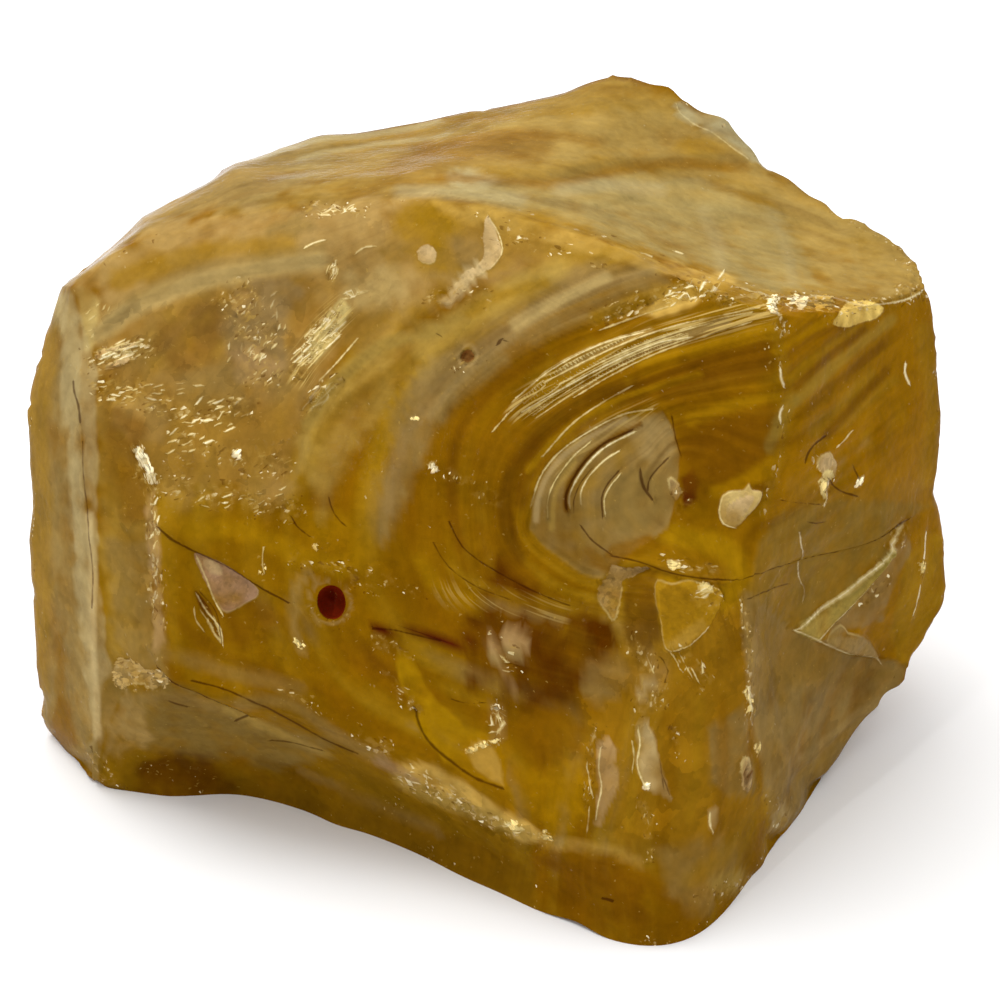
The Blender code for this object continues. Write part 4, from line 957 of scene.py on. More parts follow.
# painted glares broken into fine strokes: middle, angle in degrees, half length and half width of the patch,
# how long a stroke is, gap between strokes in stroke lengths
glares = {
    "brow": ((319, 342), 46, 34, 13, 22, 0.2), "browHook": ((356, 292), 20, 14, 6, 9, 0.4),
    "shoulder": ((336, 207), 4, 24, 5, 12, 0.2), "shoulderDot": ((332, 271), 78, 8, 5, 9, 0.2),
    "hook": ((320, 396), 45, 18, 7, 16, 0.5), "columnTop": ((503, 655), 5, 10, 20, 8, 2.0),
    "column": ((498, 712), 2, 8, 26, 9, 0.8), "stepTop": ((704, 590), 25, 9, 6, 7, 0.6),
    "ledgeTop": ((440, 786), -35, 46, 8, 6, 1.8), "ledgeEnd": ((514, 827), -20, 14, 4, 8, 0.5),
    "scratch": ((120, 352), 20, 26, 9, 14, 0.5), "cheekRow": ((150, 392), 8, 54, 8, 7, 2.2),
    "cheekLow": ((205, 424), 30, 52, 22, 8, 2.6), "cheekHaze": ((258, 330), 60, 44, 26, 6, 3.2),
    "sillRow": ((240, 500), 8, 60, 10, 6, 3.4), "ribRow": ((155, 555), 88, 62, 5, 6, 1.2),
    "corner": ((98, 318), 60, 34, 12, 5, 4.0), "goldTop": ((690, 292), 22, 40, 10, 7, 1.6)}
pick = np.random.default_rng(11)
for name, (middlePlace, angle, halfLong, halfWide, stroke, gap) in glares.items():
    for row in np.arange(-halfWide, halfWide + 1, 2.8 + 0.8 * gap):
        begin = -halfLong + pick.uniform(0, (0.5 + gap) * stroke)
        while begin < halfLong:
            length = stroke * pick.uniform(0.4, 1.2)
            turned = math.radians(angle)
            way = np.array([math.cos(turned), -math.sin(turned)])
            across = np.array([-way[1], way[0]]) * (row + pick.uniform(-1, 1))
            start = np.array(middlePlace) + way * begin + across
            # sparse strokes lie less in order
            turned += math.radians(pick.normal(0, 3 + 7 * min(gap, 2)))
            way = np.array([math.cos(turned), -math.sin(turned)])
            # the patch is an oval with a ragged border
            if (begin + length / 2) ** 2 / halfLong ** 2 + row ** 2 / halfWide ** 2 < pick.uniform(0.7, 1.2):
                line = [tuple(start), tuple(start + way * length)]
                rimsAndGlints["%s%.0f%.0f" % (name, row, begin)] = (pick.uniform(0.7, 1.8), line)
            begin += length + stroke * gap * pick.uniform(0.4, 1.6) + 1.5

# the silky bundle: thin bright lines from the left, each a little further in than the last
bundle = {"outer": [(512, 402), (545, 372), (576, 354), (610, 340), (650, 328), (700, 314)],
          "inner": [(540, 420), (575, 398), (612, 376), (656, 354), (700, 338), (752, 322)],
          "lines": 9, "uneven": 0.25, "width": (0.6, 1.0)}
for k in range(bundle["lines"]):
    share = (k + pick.uniform(-bundle["uneven"], bundle["uneven"])) / (bundle["lines"] - 1)
    line = np.array(bundle["outer"]) * (1 - share) + np.array(bundle["inner"]) * share
    cut = int(pick.integers(0, 2))
    kept = line[cut:len(line) - 1 + cut]
    rimsAndGlints["bundle%d" % k] = (pick.uniform(*bundle["width"]), [tuple(place) for place in kept])


# a line is kept as how far a point is beside it, in one of three channels so that neighbours don't mix
def lineChannels(lines):
    offset = np.full((len(co), 3), 60.0)       # far from any line
    reach = np.full((len(co), 3), -6.0)
    for width, line in lines.values():
        curve = curveThrough(line, step=4.0)
        hit = around(curve, 26)
        away, side, past = nearLine(sheet[hit], curve)
        close = hit[away < 16]
        channel = int(np.argmin([(reach[close, k] > -5).sum() for k in range(3)]))
        span = width - 0.35 * np.maximum(past, 0) - np.maximum(away - 3.5, 0)      # it tapers past its ends
        better = (away < 12) & (span > reach[hit, channel]) & (facing[hit] > 0.03)
        offset[hit[better], channel] = side[better]
        reach[hit[better], channel] = span[better]
    return offset, reach


crackSide, crackReach = lineChannels(cracks)
rimAndGlintSide, rimAndGlintReach = lineChannels(rimsAndGlints)
print("cracks, rims and chips placed")


# relief: broken steps follow a line, the right hand side of it lies lower: height in mm, reach, places
steps = {
    "eyeShellA": (0.6, 20, [(603, 578), (583, 576), (562, 562), (541, 547), (527, 531), (531, 508),
        (541, 476), (562, 450), (595, 428), (625, 414), (655, 409)]),
    "eyeShellB": (0.5, 12, [(568, 514), (566, 497), (572, 481), (586, 460), (605, 443), (640, 426)]),
    "eyeShellC": (-0.4, 9, [(583, 510), (582, 492), (591, 475), (606, 459), (622, 449)]),
    "eyeShellD": (-0.4, 14, [(604, 520), (602, 498), (608, 484), (620, 470)]),
    "eyeRight": (0.45, 12, [(664, 412), (674, 436), (680, 456), (674, 492), (668, 522), (640, 545)]),
    "eyeNotch": (-0.5, 7, [(638, 468), (644, 488), (653, 500), (650, 484), (668, 458)]),
    "silkStepA": (0.35, 12, [(522, 412), (560, 390), (609, 364), (656, 343), (700, 332)]),
    "silkStepB": (-0.35, 14, [(505, 410), (545, 374), (575, 356), (607, 342), (643, 332), (690, 318)]),
    "outerArcStep": (0.3, 16, [(449, 521), (460, 543), (477, 559), (508, 578), (560, 604)]),
    "innerArcStep": (0.3, 16, [(512, 530), (508, 490), (520, 455), (548, 425), (583, 401), (632, 384)]),
    "bandStep": (0.5, 18, [(452, 408), (489, 380), (524, 353), (562, 333), (600, 318), (650, 300)]),
    "underEyeStep": (0.8, 18, [(604, 580), (640, 566), (700, 580), (742, 582)]),
    "sillStep": (0.9, 16, [(158, 527), (196, 552), (227, 567), (262, 588), (292, 604)]),
    "footStep": (0.9, 14, [(150, 652), (166, 679), (200, 694), (249, 715)]),
    "rightStep": (0.7, 20, [(740, 578), (796, 561), (866, 545), (911, 518)]),
    "shellStep": (-0.6, 18, [(793, 629), (852, 589), (889, 555), (908, 521)]),
    "shellFoot": (0.7, 16, [(793, 629), (821, 642), (847, 653), (875, 657), (900, 662)]),
    "rimStep": (-0.35, 16, [(928, 527), (922, 583), (914, 617)]),
    "frontToeStep": (-0.4, 18, [(398, 653), (413, 708), (430, 741), (471, 773), (504, 787)]),
    "cheekStep": (0.8, 16, [(306, 424), (334, 384), (382, 346), (440, 326)]),
    "cheekStepB": (-0.35, 14, [(300, 470), (312, 430), (344, 392), (392, 360)]),
    "shoulderStep": (0.8, 18, [(96, 334), (137, 306), (190, 284), (250, 270), (320, 260)]),
    "topStep": (0.4, 20, [(420, 172), (470, 166), (520, 176), (600, 168), (700, 160), (750, 170)]),
    "topStepB": (0.35, 20, [(600, 205), (660, 196), (730, 212), (780, 240)]),
    "lobeStep": (-1.0, 18, [(536, 849), (565, 846), (609, 852), (653, 873), (684, 900)]),
    "lowSplit": (0.35, 18, [(795, 775), (850, 725), (895, 690)]),
    "lowSplitB": (-0.3, 16, [(760, 620), (775, 700), (790, 780)]),
    "noseStep": (0.4, 14, [(580, 705), (596, 740), (588, 800), (592, 850)]),
    "noseStepB": (-0.35, 14, [(628, 700), (634, 740), (628, 800), (640, 850)]),
    "noseStepC": (0.35, 14, [(684, 690), (690, 740), (684, 800)]),
    "noseStepD": (-0.35, 14, [(722, 700), (728, 760), (716, 840)])}

ripple = {"height": 0.1, "pitch": 13.0}    # concentric ripples of the shell-like break, across the layers
swell = {"coarse": 0.35, "middle": 0.16, "fine": 0.05, "silk": 0.16}

for height, reach, line in steps.values():
    curve = curveThrough(line)
    hit = around(curve, reach * 3)
    away, side, past = nearLine(sheet[hit], curve)
    fade = np.exp(-away / reach) * ease(-past, -reach, 0)
    relief[hit] -= height * (ease(side, -2.5, 2.5) - 0.5) * fade * seen[hit]

# how much the face is broken into small plates: strength, softness, outline
crumbly = {
    "cheek": (1.0, 20, [(90, 300), (230, 280), (330, 300), (300, 400), (290, 510), (160, 500), (100, 430)]),
    "brow": (0.6, 16, [(280, 210), (420, 205), (520, 225), (500, 290), (400, 320), (330, 330), (290, 280)]),
    "sill": (0.5, 16, [(160, 500), (300, 500), (400, 560), (400, 700), (300, 690), (170, 650)]),
    "hollow": (0.7, 10, [(100, 400), (160, 440), (168, 640), (120, 680), (100, 560)]),
    "nose": (0.9, 14, [(580, 640), (720, 560), (760, 640), (765, 800), (690, 860), (590, 840), (560, 740)]),
    "ledge": (1.0, 8, [(400, 760), (460, 770), (560, 830), (540, 860), (470, 830), (400, 796)]),
    "under": (0.5, 12, [(110, 690), (300, 700), (540, 850), (540, 900), (300, 820), (110, 780)]),
    "rightLow": (0.7, 10, [(760, 640), (900, 660), (880, 720), (790, 820), (760, 740)]),
    "band": (0.4, 16, [(330, 400), (440, 320), (600, 260), (640, 280), (480, 370), (400, 470), (330, 520)]),
    "left": (0.5, 8, [(40, 300), (90, 300), (100, 740), (40, 720)])}
platy = 0.25 * (1 - seen) + 0.15 * seen
for strength, soft, outline in crumbly.values():
    curve = np.array(outline, float)
    hit = around(curve, soft * 2)
    inside = insideOutline(sheet[hit], curve) + 5 * middle[hit]
    platy[hit] = np.maximum(platy[hit], strength * ease(inside, -soft, soft) * seen[hit])

grain = layerNoise(5.0, 4)
# how strongly the streaks show: most round the eye of the swirl and on the upper right side, which fade in
# from the first to the second place on the sheet
eye = {"middle": (640, 470), "squash": 1.1, "streaks": (270, 130), "ripples": (300, 150),
       "upper": (480, 410), "inward": (500, 600), "rightUpper": (500, 420), "rightInward": (930, 870)}
toEye = np.hypot(sheet[:, 0] - eye["middle"][0], (sheet[:, 1] - eye["middle"][1]) * eye["squash"])
nearEye = ease(toEye, *eye["streaks"]) * seen
inUpper = ease(sheet[:, 1], *eye["upper"]) * ease(sheet[:, 0], *eye["inward"])
streaky = 0.14 + 0.26 * nearEye + 0.44 * nearEye * inUpper
onRight = ease(faceEdge["right"], 0, 10) * ease(sheet[:, 1], *eye["rightUpper"]) * seen
streaky = np.maximum(streaky, 0.6 * onRight * ease(sheet[:, 0], *eye["rightInward"]))
streaky = np.where(onTop, 0.4, streaky)
# silky bundles of hair lines: strength, half width, places
silky = {"crest": (1.0, 14, [(520, 408), (575, 374), (640, 342), (700, 324), (765, 307)]),
         "eye": (0.45, 8, [(560, 470), (600, 430), (650, 408)]),
         "low": (0.35, 10, [(445, 590), (500, 600), (560, 614)]),
         "brow": (1.0, 14, [(300, 372), (318, 340), (338, 312)])}
silk = np.zeros(len(co))
for strength, half, line in silky.values():
    curve = curveThrough(line)
    hit = around(curve, half * 3)
    away, side, past = nearLine(sheet[hit], curve)
    silk[hit] = np.maximum(silk[hit], strength * (1 - ease(away, half * 0.5, half * 1.5)) * seen[hit])
rings = np.sin(flowAtPoint * 2 * math.pi / ripple["pitch"])
relief += ripple["height"] * rings * ease(toEye, *eye["ripples"])
relief += swell["silk"] * silk * grain
relief += swell["coarse"] * coarse + swell["middle"] * middle + swell["fine"] * fine

# ridges: the sharp edges of the break are nibbled into small splinters all round
splinter = {"sharpFrom": 24, "reach": 2.2, "farthest": 12.0, "depth": 0.25, "share": 0.16, "slope": 0.26,
            "drop": (-0.25, 0.45), "height": (-0.35, 0.6),      # mm
            "stretch": 2.4, "needle": (5.0, 1.9), "needleFrom": 1.55,
            "bite": 0.7, "biteSeen": 0.25, "frost": 0.9, "leastFrost": 0.05}
bpy.ops.object.mode_set(mode="EDIT")
bpy.ops.mesh.select_all(action="DESELECT")
bpy.ops.mesh.select_mode(type="EDGE")
bpy.ops.mesh.edges_select_sharp(sharpness=math.radians(splinter["sharpFrom"]))
bpy.ops.object.mode_set(mode="OBJECT")
sharp = np.zeros(len(mesh.edges), bool)
mesh.edges.foreach_get("select", sharp)
ends = np.empty(len(mesh.edges) * 2, np.int32)
mesh.edges.foreach_get("vertices", ends)
onRidge = np.unique(ends.reshape(-1, 2)[sharp])
print("ridge points", len(onRidge))


def nearestOf(places, wanted, limit):
    tree = kdtree.KDTree(len(places))
    for i, place in enumerate(places):
        tree.insert(place, i)
    tree.balance()
    found = [tree.find(p) for p in wanted]
    return np.array([hit[1] for hit in found]), np.minimum([hit[2] for hit in found], limit)


_, ridgeAway = nearestOf(co[onRidge], co, splinter["farthest"])

# rough broken patches on the sheet; the gleam ones stand for painted glare: strength, half width,
# which way the splinters lie in degrees, places
rough = {
    "crest": (0.12, 7, -15, [(430, 195), (484, 206), (560, 228), (640, 250), (700, 270), (740, 287)]),
    "goldRough": (0.95, 12, 25, [(600, 320), (640, 304), (672, 292), (705, 288), (726, 296)]),
    "frontCorner": (0.6, 8, -5, [(740, 290), (775, 299), (800, 300), (840, 306), (880, 304), (918, 292)]),
    "rightCorner": (1.0, 11, 60, [(905, 296), (922, 285), (912, 262)]),
    "rightRidge": (0.35, 4, 80, [(776, 300), (773, 335), (784, 375), (784, 415), (776, 470), (762, 515)]),
    "rib": (0.95, 7, 85, [(155, 470), (154, 500), (152, 540), (156, 590), (160, 625)]),
    "cheekFrost": (0.85, 14, 20, [(100, 388), (150, 400), (200, 420), (240, 405)]),
    "sillFrost": (0.85, 12, 15, [(150, 480), (190, 490), (240, 500), (290, 508)]),
    "sillFrostB": (0.8, 14, 30, [(180, 440), (230, 455), (280, 470)]),
    "hazeFrost": (0.9, 22, 50, [(236, 300), (258, 330), (268, 366)]),
    "scratches": (1.4, 10, 18, [(96, 362), (120, 354), (152, 346)]),
    "gleamA": (1.2, 11, 52, [(296, 372), (316, 340), (336, 312)]),
    "gleamB": (1.3, 6, 8, [(308, 208), (330, 206), (362, 212)]),
    "gleamC": (1.6, 5, 70, [(330, 264), (334, 276)]),
    "gleamTop": (1.7, 7, 55, [(324, 330), (332, 316), (341, 306)]),
    "gleamD": (1.6, 7, 113, [(136, 448), (146, 466), (152, 486)]),
    "gleamE": (0.9, 7, 45, [(303, 408), (320, 394), (336, 382)]),
    "ledge": (1.3, 8, -28, [(404, 776), (440, 798), (480, 815), (520, 834), (540, 842)]),
    "ledgeB": (1.0, 7, -25, [(358, 734), (372, 744), (386, 750)]),
    "ledgeC": (0.8, 5, -20, [(282, 692), (300, 698), (312, 702)]),
    "scab": (0.8, 9, -15, [(118, 668), (140, 678), (164, 684)]),
    "toe": (0.8, 7, -50, [(86, 748), (100, 762), (112, 780)]),
    "flakeBits": (0.9, 6, -50, [(388, 676), (402, 694), (416, 708)]),
    "sparkBits": (0.9, 6, -10, [(376, 640), (392, 648), (408, 654)]),
    "stepSparks": (0.8, 5, 10, [(690, 596), (706, 590), (718, 598), (700, 606)]),
    "stepSparksB": (0.9, 7, -5, [(666, 560), (690, 568), (712, 570)]),
    "nosePatch": (1.1, 12, 80, [(634, 646), (648, 668), (656, 694), (644, 704)]),
    "noseFins": (0.7, 9, -60, [(680, 652), (692, 668), (704, 684)]),
    "spineBits": (0.9, 4, 85, [(744, 600), (747, 640), (750, 690), (752, 720)]),
    "kneeBits": (0.8, 6, 45, [(768, 800), (782, 815), (776, 826)]),
    "footBits": (0.8, 6, 20, [(700, 900), (724, 890), (744, 878)]),
    "midBits": (0.6, 7, 70, [(496, 500), (440, 470), (424, 466)]),
    "browBits": (0.55, 9, -15, [(500, 230), (520, 236), (560, 246), (600, 262)]),
    "browBitsB": (0.5, 9, 20, [(430, 300), (460, 292), (500, 300)]),
    "rowBits": (0.6, 8, -15, [(300, 560), (360, 575), (420, 590)]),
    "starBits": (0.6, 7, 80, [(820, 458), (826, 476), (822, 494)]),
    "lowGlints": (0.5, 6, -5, [(498, 704), (502, 726), (496, 744)]),
    "lowGlintsB": (0.3, 8, -5, [(500, 634), (512, 650), (516, 672)]),
    "eyeBits": (0.6, 6, 60, [(674, 490), (690, 500), (680, 510)]),
    "noseRunA": (1.0, 4, 86, [(596, 724), (590, 760), (586, 806)]),
    "noseRunB": (0.9, 4, 84, [(640, 800), (646, 826), (652, 862)]),
    "noseRunC": (0.9, 4, 80, [(672, 730), (678, 746), (682, 756)]),
    "cornerBits": (1.3, 6, 70, [(776, 298), (777, 312), (782, 330)]),
    "shellBits": (0.8, 6, 45, [(858, 606), (872, 592), (886, 580)]),
    "shellTop": (0.9, 5, 50, [(884, 560), (896, 545), (906, 530)]),
    "tipBits": (0.6, 6, -80, [(640, 800), (650, 830), (646, 860)])}

frost = np.zeros(len(co))
noLie = 999.0                     # where splinters lie in no direction
lie = np.full(len(co), noLie)
needles = np.zeros(len(co))       # 1 where a glare is broken into fine needles
for strength, half, angle, line in rough.values():
    curve = curveThrough(line)
    hit = around(curve, half * 3)
    away, side, past = nearLine(sheet[hit], curve)
    away = away + half * (0.6 * middle[hit] + 0.5 * fine[hit])
    patch = strength * (1 - ease(away, half * 0.4, half * 1.5)) * seen[hit]
    most = hit[(patch > frost[hit]) & (patch > 0.03)]
    lie[most] = angle
    needles[most] = strength >= splinter["needleFrom"]
    frost[hit] = np.maximum(frost[hit], patch)
ridgeBite = (1 - ease(ridgeAway, 0.3, splinter["reach"])) * ease(middle + 0.6 * fine + 0.5 * coarse, 0.0, 0.5)
ridgeBite *= splinter["bite"] - splinter["biteSeen"] * seen
frost = np.maximum(frost, splinter["frost"] * ridgeBite)

# every splinter is a small plane with its own slope
rng = np.random.default_rng(7)
broken = np.nonzero(frost > splinter["leastFrost"])[0]
seeds = broken[rng.random(len(broken)) < splinter["share"]]
owner, _ = nearestOf(co[seeds], co[broken], 99.0)
slope = rng.normal(0, splinter["slope"], (len(seeds), 3))
drop = rng.uniform(*splinter["drop"], len(seeds))
lean = ((co[broken] - co[seeds][owner]) * slope[owner]).sum(1)
sunk = np.clip(splinter["depth"] * drop[owner] + lean, *splinter["height"])
relief[broken] -= np.minimum(frost[broken], 1) * sunk

# mm: the foot stays flat up to here, and how far the glass may pass the solid, before and after the bites
fitting = {"foot": 1.2, "footRelief": (-0.2, 0.0), "pass": 0.4, "bitePass": 0.8}
sideways = np.array([1.0, 1.0, 0.0])
bulge = relief.copy()
onGround = co[:, 2] < fitting["foot"]
bulge[onGround] = np.clip(bulge[onGround], *fitting["footRelief"])
bulge[onGround] *= ease(co[onGround, 2], 0.0, fitting["foot"])
moved = co + normal * bulge[:, None]
low, high = (np.array(corner) / mm for corner in cadBox)
moved = np.clip(moved, low - fitting["pass"] * sideways, high + fitting["pass"])
# places on the outline where the block swells out (+) or is bitten away (-): mm, reach on the sheet, place
outlineBites = {
    "peak": (-0.5, 16, (612, 74)), "peakLeft": (-0.35, 26, (558, 98)), "backCorner": (0.9, 12, (669, 87)),
    "backKnee": (1.1, 17, (722, 123)), "backDip": (-0.9, 18, (769, 162)), "backDipB": (-0.5, 18, (808, 190)),
    "cornerNotch": (-1.2, 13, (840, 217)), "rightTip": (-0.9, 12, (923, 280)),
    "shoulderSwell": (0.8, 20, (234, 168)), "shoulderSwellB": (0.6, 22, (318, 137)),
    "topSwell": (0.45, 34, (462, 116)), "leftSwell": (0.4, 14, (145, 222)),
    "leftBite": (-0.5, 24, (37, 356)), "leftBiteB": (-0.4, 22, (31, 512)), "heelSwell": (0.9, 16, (48, 722)),
    "heelBite": (-1.0, 14, (82, 766)), "toeBite": (-1.3, 10, (90, 786)), "footSwell": (0.7, 24, (198, 797)),
    "footSwellB": (1.0, 22, (338, 825)), "footSwellC": (0.6, 34, (464, 874)),
    "lobeBite": (-0.8, 26, (573, 926)), "lowSwell": (1.5, 18, (900, 678)),
    "lowSwellB": (0.6, 14, (874, 706)), "rimBite": (-0.9, 16, (932, 624)), "lowBite": (-0.8, 14, (813, 788)),
    "kneeBite": (-0.8, 9, (776, 840)), "kneeSwell": (0.6, 10, (760, 866)),
    "rightNotch": (-0.5, 14, (937, 492)), "rightSwell": (0.4, 34, (939, 425))}
ahead = np.array(viewAxes()[1])
level = normal - (normal @ ahead)[:, None] * ahead
edgeOn = 1 - ease(np.abs(facing), 0.35, 0.75)
for bite, reach, place in outlineBites.values():
    away = np.linalg.norm(sheet - np.array(place, float), axis=1)
    share = np.exp(-(away / reach) ** 2) * edgeOn
    moved += level * (bite * share)[:, None]
moved = np.clip(moved, low - fitting["bitePass"] * sideways, high + fitting["bitePass"])
mesh.vertices.foreach_set("co", (moved * mm).astype(np.float32).ravel())
mesh.update()
glass.data.shade_smooth()
glass.data.set_sharp_from_angle(angle=math.radians(chunk["shadeSharpFrom"]))
print("relief worked in, mm:", round(float(relief.min()), 2), round(float(relief.max()), 2))


def keepNumbers(name, values):
    layer = mesh.attributes.new(name, "FLOAT", "POINT")
    layer.data.foreach_set("value", np.asarray(values, np.float32))


def keepVectors(name, values):
    layer = mesh.attributes.new(name, "FLOAT_VECTOR", "POINT")
    layer.data.foreach_set("vector", np.asarray(values, np.float32).ravel())


def keepColours(name, values):
    layer = mesh.color_attributes.new(name, "FLOAT_COLOR", "POINT")
    rgba = np.concatenate([values, np.ones((len(values), 1))], 1)
    layer.data.foreach_set("color", np.asarray(rgba, np.float32).ravel())


cornerPoint = np.empty(len(mesh.loops), np.int32)
mesh.loops.foreach_get("vertex_index", cornerPoint)
cornersEach = np.empty(len(mesh.polygons), np.int32)
mesh.polygons.foreach_get("loop_total", cornersEach)
cornerFace = np.repeat(np.arange(len(cornersEach)), cornersEach)
faceOnTop = np.bincount(cornerFace, onTop[cornerPoint]) / cornersEach > 0.5
flowAtCorner = np.where(faceOnTop[cornerFace], topFlow[cornerPoint] + topOffset, flow[cornerPoint])
flowLayer = mesh.attributes.new("flow", "FLOAT", "CORNER")
flowLayer.data.foreach_set("value", flowAtCorner.astype(np.float32))
# inside a rough patch the splinters are drawn out along its own direction
firstCorner = np.concatenate([[0], np.cumsum(cornersEach)[:-1]])
cornerLie = np.repeat(lie[cornerPoint[firstCorner]], cornersEach)
turn = np.radians(cornerLie)
onSheet = sheet[cornerPoint] / view["unitsPerMm"]
along = onSheet[:, 0] * np.cos(turn) - onSheet[:, 1] * np.sin(turn)
across = onSheet[:, 0] * np.sin(turn) + onSheet[:, 1] * np.cos(turn)
cornerNeedle = np.repeat(needles[cornerPoint[firstCorner]], cornersEach)
along /= np.where(cornerNeedle > 0, splinter["needle"][0], splinter["stretch"])
across *= np.where(cornerNeedle > 0, splinter["needle"][1], 1.0)
laid = np.stack([along, across, co[cornerPoint, 1] * 0.3], 1)
chipPlace = np.where(cornerLie[:, None] == noLie, co[cornerPoint], laid)
chipLayer = mesh.attributes.new("chipPlace", "FLOAT_VECTOR", "CORNER")
chipLayer.data.foreach_set("vector", chipPlace.astype(np.float32).ravel())
for name, values in {"streaky": streaky, "platy": platy, "flakeEdge": flakeEdge, "flakeLit": flakeLit,
                     "flakeGrit": flakeGrit, "frost": frost, "silk": silk}.items():
    keepNumbers(name, values)
for name, values in {"crackSide": crackSide, "crackReach": crackReach,
                     "rimAndGlintSide": rimAndGlintSide, "rimAndGlintReach": rimAndGlintReach}.items():
    keepVectors(name, values)
keepColours("glassTint", tint)
keepColours("flakeTint", flakeTint)

# material: opal slag glass, amber clouded with milky bands, poured, cooled in a lump and broken by hammer.
# Fresh shell-like breaks are glossy, streaked along the flow, and crushed to pale specks where they chipped
opal = {"roughness": 0.09, "chipRoughness": 0.26, "ior": 1.52, "shine": 0.003, "chipShine": 0.5,
        "shineTint": "#fff4dc",
        "streakPerMm": 0.8,        # flow streaks are 1 to 3 mm apart
        "hairPerMm": 3.4,          # hair lines in the streaks, about 0.3 mm, the finest that show
        "chipPerMm": 2.5,          # specks of crushed glass about 0.4 mm
        "platePerMm": 0.34,        # broken plates about 3 mm across
        "plateWarp": 2.6,          # mm that their borders wander
        "cloudPerMm": 0.14,        # clouds about 7 mm across
        "mottlePerMm": 0.9,        # mottling about 1 mm across
        "along": 0.05, "hairAlong": 0.14,      # how fast the streaks and hair lines change along their length
        # how much each pattern lightens and darkens the tone of the glass
        "streakSwing": 0.9, "hairSwing": 0.25, "cloudSwing": 0.7, "mottleSwing": 0.4, "plateSwing": 0.3,
        # how fully each mark covers it
        "goldCover": 0.35, "deepCover": 0.45, "silkCover": 0.7, "frostCover": 0.3, "chipCover": 0.85,
        "rimCover": 0.82, "crackCover": 0.72,
        # relief in mm
        "streakHeight": 0.1, "mottleHeight": 0.1, "hairHeight": 0.07, "flakeHeight": 0.12,
        "rimHeight": 0.05, "crackHeight": -0.05}


def addNode(tree, kind, settings=None, links=None):
    node = tree.nodes.new(kind)
    for key, value in (settings or {}).items():
        if isinstance(key, int):
            node.inputs[key].default_value = value
        elif hasattr(node, key):
            setattr(node, key, value)
        else:
            node.inputs[key].default_value = value
    for key, source in (links or {}).items():
        tree.links.new(source, node.inputs[key])
    return node


